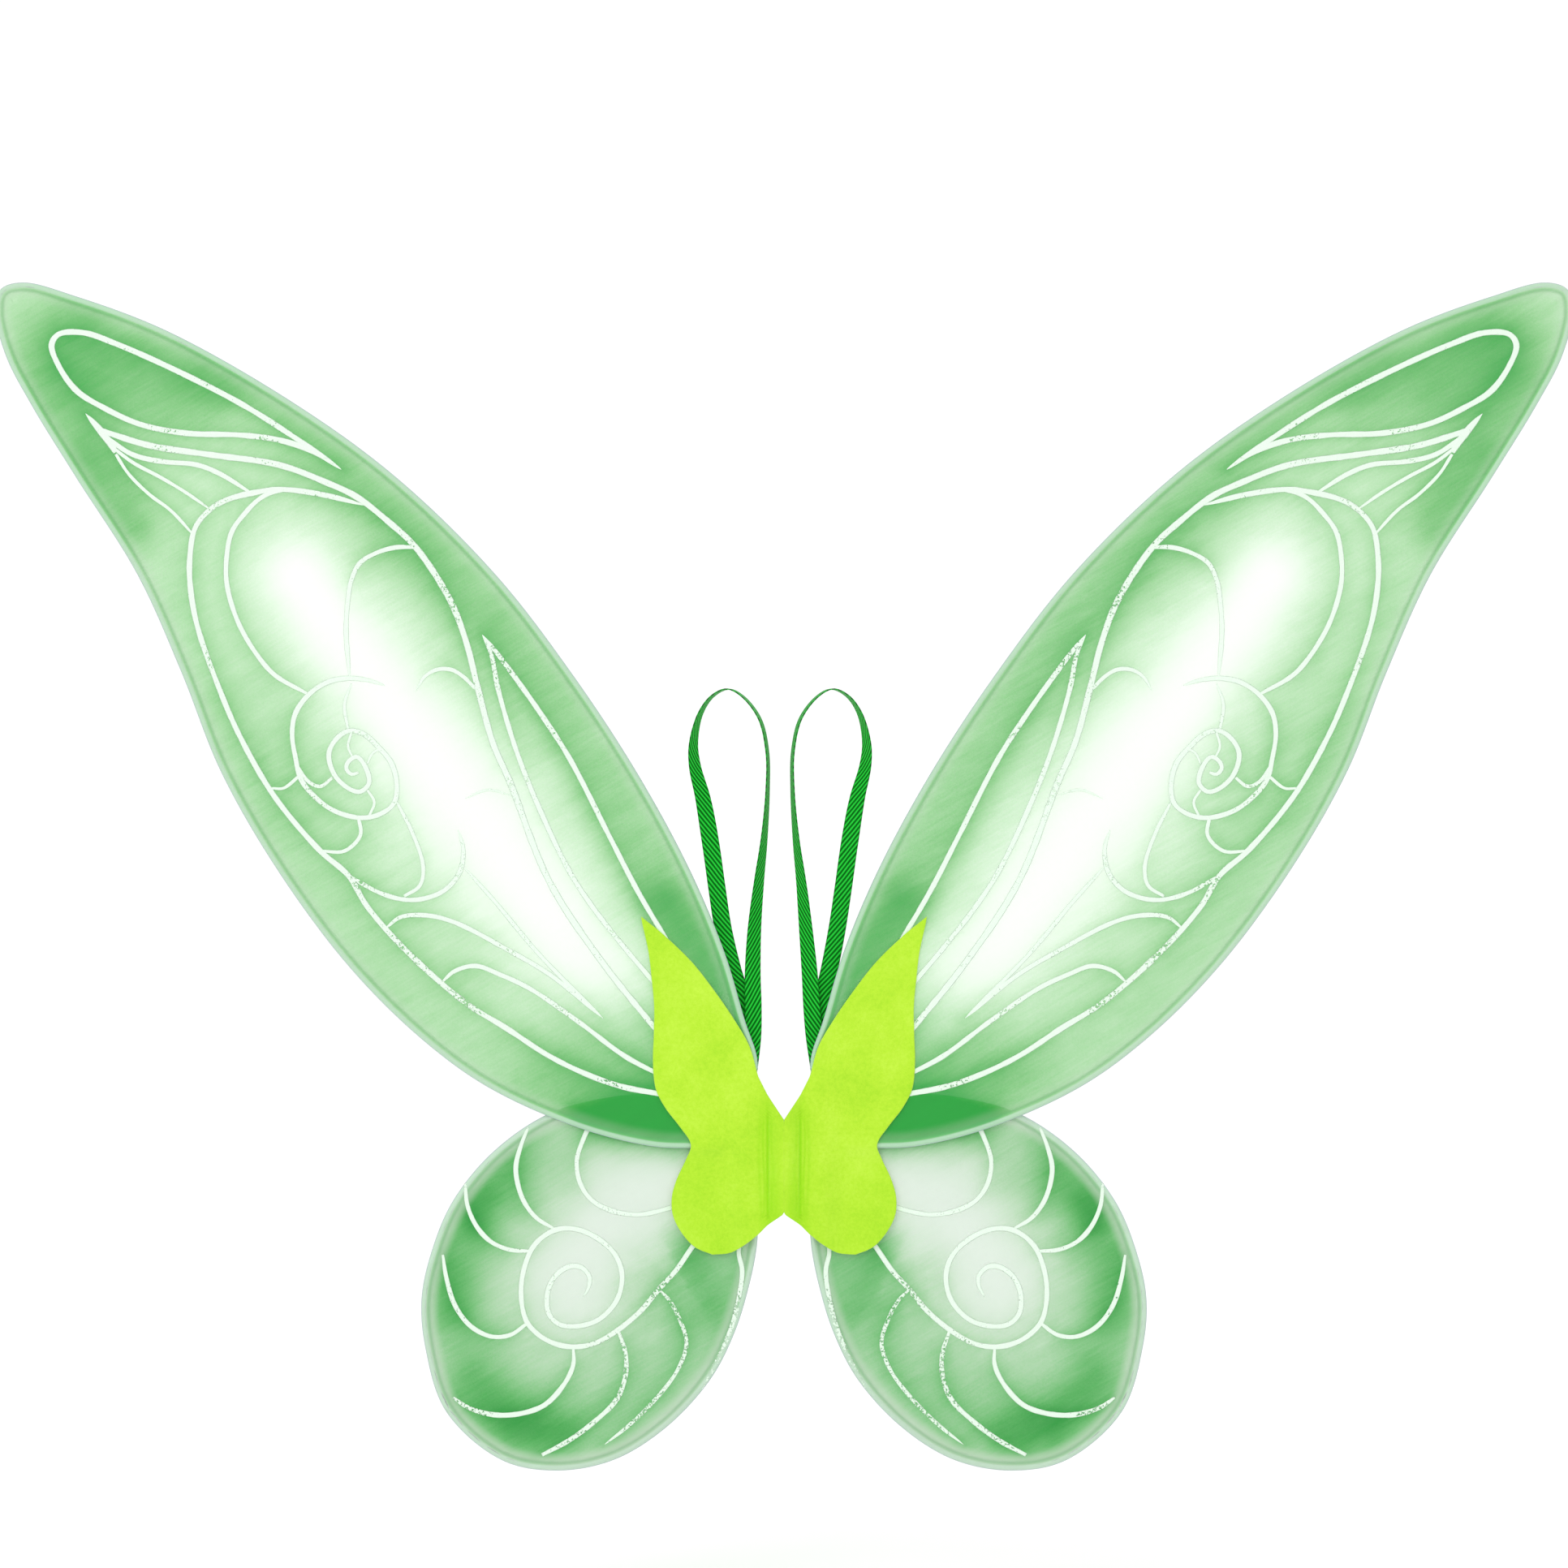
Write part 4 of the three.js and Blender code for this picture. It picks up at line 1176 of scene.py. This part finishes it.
class FAIRY_PG_felt(bpy.types.PropertyGroup):
    """Colours and nap of the felt."""
    felt: colour("Felt", "b4e42e")
    felt_light: colour("Felt in the light", "c8f04c")
    felt_deep: colour("Felt's depths", "9cd71c")
    # Colour of the painted shade in the felt's creases and lower lobe.
    felt_painted_shade: colour("Felt in a crease", "94d800")
    nap: share("Nap", "Soft shine of the felt's fibres", 0.30)
    # How strongly the painted shade darkens the felt.
    crease: share("Crease", "How much the creases darken the felt", 0.96)
    row: distance("Row", "Distance between rows of the felt's mesh", 0.5 * MM, 10 * MM, 1.6 * MM)


class FAIRY_PG_trim(bpy.types.PropertyGroup):
    """Colours of the ribbon, tape and metal."""
    ribbon: colour("Ribbon", "048e1a")
    ribbon_light: colour("Ribbon's ribs", "28c83c")
    ribbon_deep: colour("Ribbon between its ribs", "00500c")
    thread: colour("Thread", "0c7a20")
    tape: colour("Tape", "eef2ea")
    tape_shade: colour("Tape's shaded weave", "cfd6cc")
    steel: colour("Wire", "d3d8d6")
    steel_dull: colour("Wire's dull bloom", "9aa19f")
    sleeve: colour("Crimp sleeve", "c9cccb")
    sleeve_dull: colour("Crimp's dull bloom", "8f9391")


class FAIRY_PG_stage(bpy.types.PropertyGroup):
    """Floor, light and camera."""
    floor: colour("Floor", "fafafa")
    floor_light: colour("Floor's lighter parts", "ffffff")
    floor_height: distance("Floor height", "Height of the floor", -2, 0, CAD_BOX[0].z - FLOOR_ROOM)
    floor_radius: distance("Floor radius", "Radius of the round floor", 1, 50, 14)
    world: bpy.props.FloatProperty(
        name="Surround", description="Brightness of the white surround", min=0, max=5, default=1.05,
    )
    key: watts("Key light", "Power of the large soft light, in watts", 16)
    fill: watts("Fill light", "Power of the smaller light on the wearer's side, in watts", 5)
    lens: bpy.props.FloatProperty(
        name="Lens", description="Focal length of the camera, in millimetres", subtype="DISTANCE_CAMERA",
        min=20, max=400, default=120,
    )
    view_width: distance("View width", "Width of the view at the wings", 0.2, 4, 0.9)
    view_height: distance("View height", "Height of the camera above the wings' seat", -1, 2, 0.2194)


GROUPS = {
    "fairy_cloth": FAIRY_PG_cloth,
    "fairy_felt": FAIRY_PG_felt,
    "fairy_trim": FAIRY_PG_trim,
    "fairy_stage": FAIRY_PG_stage,
}


# ---- Operators ----

class FAIRY_OT_stage(bpy.types.Operator):
    """Set up the camera, the pale floor and the soft studio light"""
    bl_idname = "fairy.stage"
    bl_label = "Stage"

    def execute(self, context):
        scene = context.scene
        look = scene.fairy_stage
        scene.view_settings.view_transform = "Standard"
        self.camera(scene, look)
        self.floor(look)
        self.surround(scene, look)
        self.light("key_light", look.key, 1.8, (-1.3, -2.4, 1.9))
        self.light("fill_light", look.fill, 1.4, (1.2, 2.0, 1.5))
        return {"FINISHED"}

    @staticmethod
    def camera(scene, look):
        data = bpy.data.cameras.new("camera")
        data.lens = look.lens
        data.sensor_width = 36
        eye = bpy.data.objects.new("camera", data)
        scene.collection.objects.link(eye)
        away = look.view_width * data.lens / data.sensor_width
        eye.location = (0, UPPER_Y - away, look.view_height)
        eye.rotation_euler = (math.radians(90), 0, 0)
        scene.camera = eye

    @staticmethod
    def floor(look):
        sides = 96
        ring = [2 * math.pi * k / sides for k in range(sides)]
        points = [(0, 0, 0)]
        for share in (0.25, 0.6, 1):
            points += [(share * math.cos(a), share * math.sin(a), 0) for a in ring]
        faces = [(0, 1 + k, 1 + (k + 1) % sides) for k in range(sides)]
        for start in (1, 1 + sides):
            for k in range(sides):
                following = (k + 1) % sides
                faces.append((start + k, start + sides + k, start + sides + following, start + following))
        mesh = bpy.data.meshes.new("floor")
        placed = [(x * look.floor_radius, y * look.floor_radius, look.floor_height) for x, y, _ in points]
        mesh.from_pydata(placed, [], faces)
        mesh.materials.append(pale_floor("pale_floor", look))
        sheet = bpy.data.objects.new("floor", mesh)
        bpy.context.scene.collection.objects.link(sheet)

    @staticmethod
    def surround(scene, look):
        world = bpy.data.worlds.new("white_surround")
        world.use_nodes = True
        sky = world.node_tree.nodes["Background"]
        sky.inputs["Color"].default_value = (1, 1, 1, 1)
        sky.inputs["Strength"].default_value = look.world
        scene.world = world

    @staticmethod
    def light(name, power, size, place):
        data = bpy.data.lights.new(name, "AREA")
        data.shape = "DISK"
        data.size = size
        data.energy = power
        lamp = bpy.data.objects.new(name, data)
        bpy.context.scene.collection.objects.link(lamp)
        lamp.location = place
        centre = (CAD_BOX[0] + CAD_BOX[1]) / 2
        lamp.rotation_euler = (centre - lamp.location).to_track_quat("-Z", "Y").to_euler()


class FAIRY_OT_arm_loops(bpy.types.Operator):
    """Make the two satin ribbon arm loops"""
    bl_idname = "fairy.arm_loops"
    bl_label = "Arm loops"

    def execute(self, context):
        satin = ribbed_satin("ribbed_satin", context.scene.fairy_trim)
        for hand, side in HANDS:
            line, across = ribbon_route(side, LEAN[hand])
            loop = ribbon_mesh(f"{hand}_arm_loop", line, across)
            stand_for(loop, satin, "satin_ribbon", f"{hand}_strap")
            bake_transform(loop)
        return {"FINISHED"}


class FAIRY_OT_ribbon_ends(bpy.types.Operator):
    """Make the sewn ends of the ribbon, one on the other, with their stitches"""
    bl_idname = "fairy.ribbon_ends"
    bl_label = "Ribbon ends"

    def execute(self, context):
        look = context.scene.fairy_trim
        satin = bpy.data.materials["ribbed_satin"]
        thread = woven_tape("sewing_thread", ThreadLook(look))
        for hand, side in HANDS:
            ends = self.ends(hand, side)
            stitches = self.stitches(hand, side)
            stitches.data.materials.append(thread)
            stand_for(ends, satin, "satin_ribbon", f"{hand}_strap_tab")
            for piece in (ends, stitches):
                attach(piece, f"{hand}_wings")
        return {"FINISHED"}

    @staticmethod
    def ends(hand, side):
        """Both ends in one mesh: the front layer is cut a little shorter."""
        rings = 26
        made = []
        for number, (off, short) in enumerate(((HALF_LAYER, 0), (-HALF_LAYER, 1.6 * MM))):
            heights = np.linspace(TAB[1].z + 0.4 * MM, TAB[0].z + short, rings)
            ripple = 0.05 * MM * np.sin(heights / (2.4 * MM) + number)
            line = np.column_stack((
                np.full(rings, side * SEAT_X), np.full(rings, SEAT_Y + off) + ripple, heights,
            ))
            across = np.tile((float(side), 0.0, 0.0), (rings, 1))
            made.append(ribbon_mesh(f"{hand}_ribbon_end_{number}", line, across))
        return joined(f"{hand}_ribbon_ends", made)

    @staticmethod
    def stitches(hand, side):
        """Two rows of short stitches that go through both layers."""
        made = []
        depth = RIBBON_THICK + 0.16 * MM
        half_stitch = 0.62 * MM
        spacing = 1.8 * MM
        slant = 0.12 * MM
        thread = 0.14 * MM
        angles = np.linspace(0, 2 * math.pi, 17)[:-1]
        for row, height in enumerate((TAB[1].z - 5 * MM, TAB[0].z + 6 * MM)):
            for k in range(5):
                x = side * (SEAT_X + (k - 2) * spacing)
                ring = np.column_stack((
                    x + half_stitch * np.cos(angles), SEAT_Y + depth * np.sin(angles),
                    height + slant * np.cos(2 * angles),
                ))
                made.append(thread_ring(f"{hand}_stitch_{row}_{k}", ring, thread))
        return joined(f"{hand}_ribbon_stitches", made)


class ThreadLook:
    """The trim's colours with the thread's in place of the tape's."""

    def __init__(self, look):
        self.tape = look.thread
        self.tape_shade = look.ribbon_deep


def thread_ring(name, ring, radius):
    """A closed loop of thread through the points of a ring."""
    sides = 8
    ahead = np.roll(ring, -1, axis=0) - np.roll(ring, 1, axis=0)
    along = unit(ahead)
    up = np.tile((0.0, 0.0, 1.0), (len(ring), 1))
    across = unit(np.cross(along, up))
    up = np.cross(across, along)
    points = []
    for place, a, b in zip(ring, across, up):
        for k in range(sides):
            angle = 2 * math.pi * k / sides
            points.append(place + radius * (math.cos(angle) * a + math.sin(angle) * b))
    faces = []
    total = len(ring)
    for i in range(total):
        for k in range(sides):
            a, b = i * sides, ((i + 1) % total) * sides
            faces.append((a + k, a + (k + 1) % sides, b + (k + 1) % sides, b + k))
    return new_mesh(name, points, faces)


def joined(name, pieces):
    """One object from several."""
    build = bmesh.new()
    for piece in pieces:
        build.from_mesh(piece.data)
    mesh = bpy.data.meshes.new(name)
    build.to_mesh(mesh)
    build.free()
    for piece in pieces:
        bpy.data.meshes.remove(piece.data)
    made = bpy.data.objects.new(name, mesh)
    bpy.context.scene.collection.objects.link(made)
    return made


class FAIRY_OT_wings(bpy.types.Operator):
    """Make the four sheer sheaths with their glitter veins"""
    bl_idname = "fairy.wings"
    bl_label = "Sheer wings"

    def execute(self, context):
        look = context.scene.fairy_cloth
        upper_stops = (
            (0.02, look.white[:]), (0.22, look.pale[:]), (0.48, look.middle[:]), (0.72, look.green[:]),
            (1.0, look.deep[:]),
        )
        lower_stops = (
            (0.02, look.lower_white[:]), (0.25, look.lower_pale[:]), (0.5, look.lower_middle[:]),
            (0.75, look.lower_green[:]), (1.0, look.lower_deep[:]),
        )
        cloths = {
            "upper": sheer_nylon("upper_sheer_nylon", look, upper_stops, look.cover, look.hem),
            "lower": sheer_nylon("lower_sheer_nylon", look, lower_stops, look.lower_cover, look.lower_hem),
        }
        print_finish = glitter("white_glitter", look)
        for hand, side in HANDS:
            for wing in (UPPER, LOWER):
                self.dress(hand, side, wing, cloths[wing.name], print_finish)
        return {"FINISHED"}

    @staticmethod
    def dress(hand, side, wing, cloth, print_finish):
        sheath = sheath_mesh(f"{hand}_{wing.name}_sheath", wing, side)
        lines = vein_mesh(f"{hand}_{wing.name}_glitter_veins", wing, side)
        lines.data.materials.append(print_finish)
        stand_for(sheath, cloth, f"{wing.name}_sheer_fabric", f"{hand}_{wing.name}_membrane")
        for piece in (sheath, lines):
            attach(piece, f"{hand}_wings")


class FAIRY_OT_felt_cover(bpy.types.Operator):
    """Make the felt cover, whose two halves meet on the ridge"""
    bl_idname = "fairy.felt_cover"
    bl_label = "Felt cover"

    def execute(self, context):
        look = context.scene.fairy_felt
        felt = brushed_felt("lime_felt", look)
        sides = (COVER_REACH, COVER_TOP, COVER_BOTTOM)
        inner = percent_curve(COVER_INNER, *sides)
        lobe = percent_curve(COVER_LOBE, *sides)
        half = FeltHalf(percent_curve(COVER_OUTER, *sides), inner, lobe, BAND_TOP, BAND_BOTTOM, NOTCH)
        for hand, side in HANDS:
            piece = felt_mesh(f"{hand}_felt_cover", half, side, cover_surface, look.row, spread=34)
            stand_for(piece, felt, "lime_felt", f"{hand}_front_cover", "front_cover_spine")
            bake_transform(piece)
            cut_area(half)
        return {"FINISHED"}


class FAIRY_OT_back_pad(bpy.types.Operator):
    """Make the felt pad that lies against the back"""
    bl_idname = "fairy.back_pad"
    bl_label = "Back pad"

    def execute(self, context):
        look = context.scene.fairy_felt
        felt = bpy.data.materials["lime_felt"]
        sides = (PAD_REACH, PAD_TOP, PAD_BOTTOM)
        outer = percent_curve(PAD_EDGE, *sides)
        lobe = percent_curve(PAD_LOBE, *sides)
        inner_top = [(outer[0][0], PAD_TOP), (CREASE_X + PAD_MARGIN, PAD_TOP - 0.02 * MM)]
        band = (BAND_TOP - PAD_MARGIN, BAND_BOTTOM - PAD_MARGIN)
        half = FeltHalf(outer, inner_top, lobe, *band, NOTCH - PAD_MARGIN)
        for hand, side in HANDS:
            piece = felt_mesh(f"{hand}_felt_pad", half, side, pad_surface, look.row, spread=26)
            stand_for(piece, felt, "lime_felt", f"{hand}_back_pad", "back_pad_spine")
            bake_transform(piece)
            cut_area(half)
        return {"FINISHED"}


def cut_area(half):
    """Flat area of one half of a felt piece."""
    heights = np.linspace(half.bottom, half.top, 400)
    widths = [max(0, outer - inner) for inner, outer in map(half.sides, heights)]
    return float(np.sum(widths) * (heights[1] - heights[0]))


class FAIRY_OT_core(bpy.types.Operator):
    """Make the rolled felt inside the raised band"""
    bl_idname = "fairy.core"
    bl_label = "Rolled core"

    def execute(self, context):
        low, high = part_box("spine_core")
        centre = (low + high) / 2
        half_x = (high.x - low.x) / 2
        half_y = (high.y - low.y) / 2
        strip = 1.7 * MM
        rounds = 2.35
        taken_in = 0.86
        centre_gap = 0.3
        turns = np.linspace(0, rounds * 2 * math.pi, 110)
        shrink = 1 - turns / turns[-1] * taken_in
        rows = np.linspace(low.z, high.z, 22)
        grids = []
        for inward in (0, 1):
            held_open = inward * strip * centre_gap * (1 - shrink)
            reach_x = (half_x - inward * strip) * shrink + held_open
            reach_y = (half_y - inward * strip) * shrink + held_open
            grid = []
            for height in rows:
                wobble = 1 - 0.012 * (1 + np.sin(height / (4 * MM) + turns))
                x = centre.x + reach_x * wobble * np.cos(turns)
                y = centre.y + reach_y * wobble * np.sin(turns)
                grid.append(np.column_stack((x, y, np.full(len(turns), height))))
            grids.append(np.array(grid).reshape(-1, 3))
        piece = closed_cloth("rolled_felt_core", *grids, len(rows), len(turns))
        # A light, even painted shade over the whole core.
        paint(piece, "pressed", np.full(len(piece.data.vertices), 0.2))
        stand_for(piece, bpy.data.materials["lime_felt"], "lime_felt", "spine_core")
        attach(piece, "spine")
        return {"FINISHED"}


class FAIRY_OT_root_tapes(bpy.types.Operator):
    """Make the tapes that bind the wires where the two wings meet"""
    bl_idname = "fairy.root_tapes"
    bl_label = "Root tapes"

    def execute(self, context):
        tape = woven_tape("cotton_tape", context.scene.fairy_trim)
        for hand, side in HANDS:
            piece = self.wrap(hand, side)
            stand_for(piece, tape, "binding_tape", f"{hand}_root_binding")
            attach(piece, f"{hand}_wings")
        return {"FINISHED"}

    @staticmethod
    def wrap(hand, side):
        """Three and a half overlapping turns of tape round the two wires."""
        low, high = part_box(f"{hand}_root_binding")
        centre = (low + high) / 2
        room = 0.5 * MM
        radius = (high.x - low.x) / 2 - room
        straight = (high.y - low.y) / 2 - room - radius
        angles = np.linspace(0, 7 * math.pi, 150)
        layer = 0.20 * MM
        grow = layer * angles / (2 * math.pi)
        drift = (angles / angles[-1] - 0.5) * 1.7 * MM
        width = 3.2 * MM
        shares = np.linspace(-0.5, 0.5, 7)
        grids = []
        for thick in (0.17 * MM, 0):
            reach = radius + 0.03 * MM + grow + thick
            x = centre.x + side * reach * np.cos(angles)
            y = centre.y + reach * np.sin(angles) + straight * np.tanh(4 * np.sin(angles))
            grid = [np.column_stack((x, y, centre.z + drift + width * s)) for s in shares]
            grids.append(np.array(grid).reshape(-1, 3))
        return closed_cloth(f"{hand}_root_tape", *grids, len(shares), len(angles))


class FAIRY_OT_metal(bpy.types.Operator):
    """Give the wires and the crimps their metal"""
    bl_idname = "fairy.metal"
    bl_label = "Metal"

    def execute(self, context):
        look = context.scene.fairy_trim
        steel = drawn_steel("spring_wire", look)
        sleeve = pressed_sleeve("pressed_sleeve", look)
        for hand, _ in HANDS:
            for place in ("upper", "lower"):
                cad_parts[f"{hand}_{place}_wire_frame"].data.materials[0] = steel
                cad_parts[f"{hand}_{place}_wire_crimp"].data.materials[0] = sleeve
        return {"FINISHED"}


OPERATORS = (
    FAIRY_OT_stage, FAIRY_OT_arm_loops, FAIRY_OT_ribbon_ends, FAIRY_OT_wings, FAIRY_OT_felt_cover,
    FAIRY_OT_back_pad, FAIRY_OT_core, FAIRY_OT_root_tapes, FAIRY_OT_metal,
)


class FAIRY_PT_panel(bpy.types.Panel):
    """Buttons for the stage and every group of pieces"""
    bl_idname = "FAIRY_PT_panel"
    bl_label = "Fairy wings"
    bl_space_type = "VIEW_3D"
    bl_region_type = "UI"
    bl_category = "Fairy wings"

    def draw(self, context):
        for operator in OPERATORS:
            self.layout.operator(operator.bl_idname)


CLASSES = (*GROUPS.values(), *OPERATORS, FAIRY_PT_panel)


def register():
    for cls in CLASSES:
        bpy.utils.register_class(cls)
    for name, group in GROUPS.items():
        setattr(bpy.types.Scene, name, bpy.props.PointerProperty(type=group))


def unregister():
    for name in GROUPS:
        delattr(bpy.types.Scene, name)
    for cls in reversed(CLASSES):
        bpy.utils.unregister_class(cls)


def main():
    register()
    for operator in OPERATORS:
        group, action = operator.bl_idname.split(".")
        getattr(getattr(bpy.ops, group), action)()


if __name__ == "__main__":
    main()
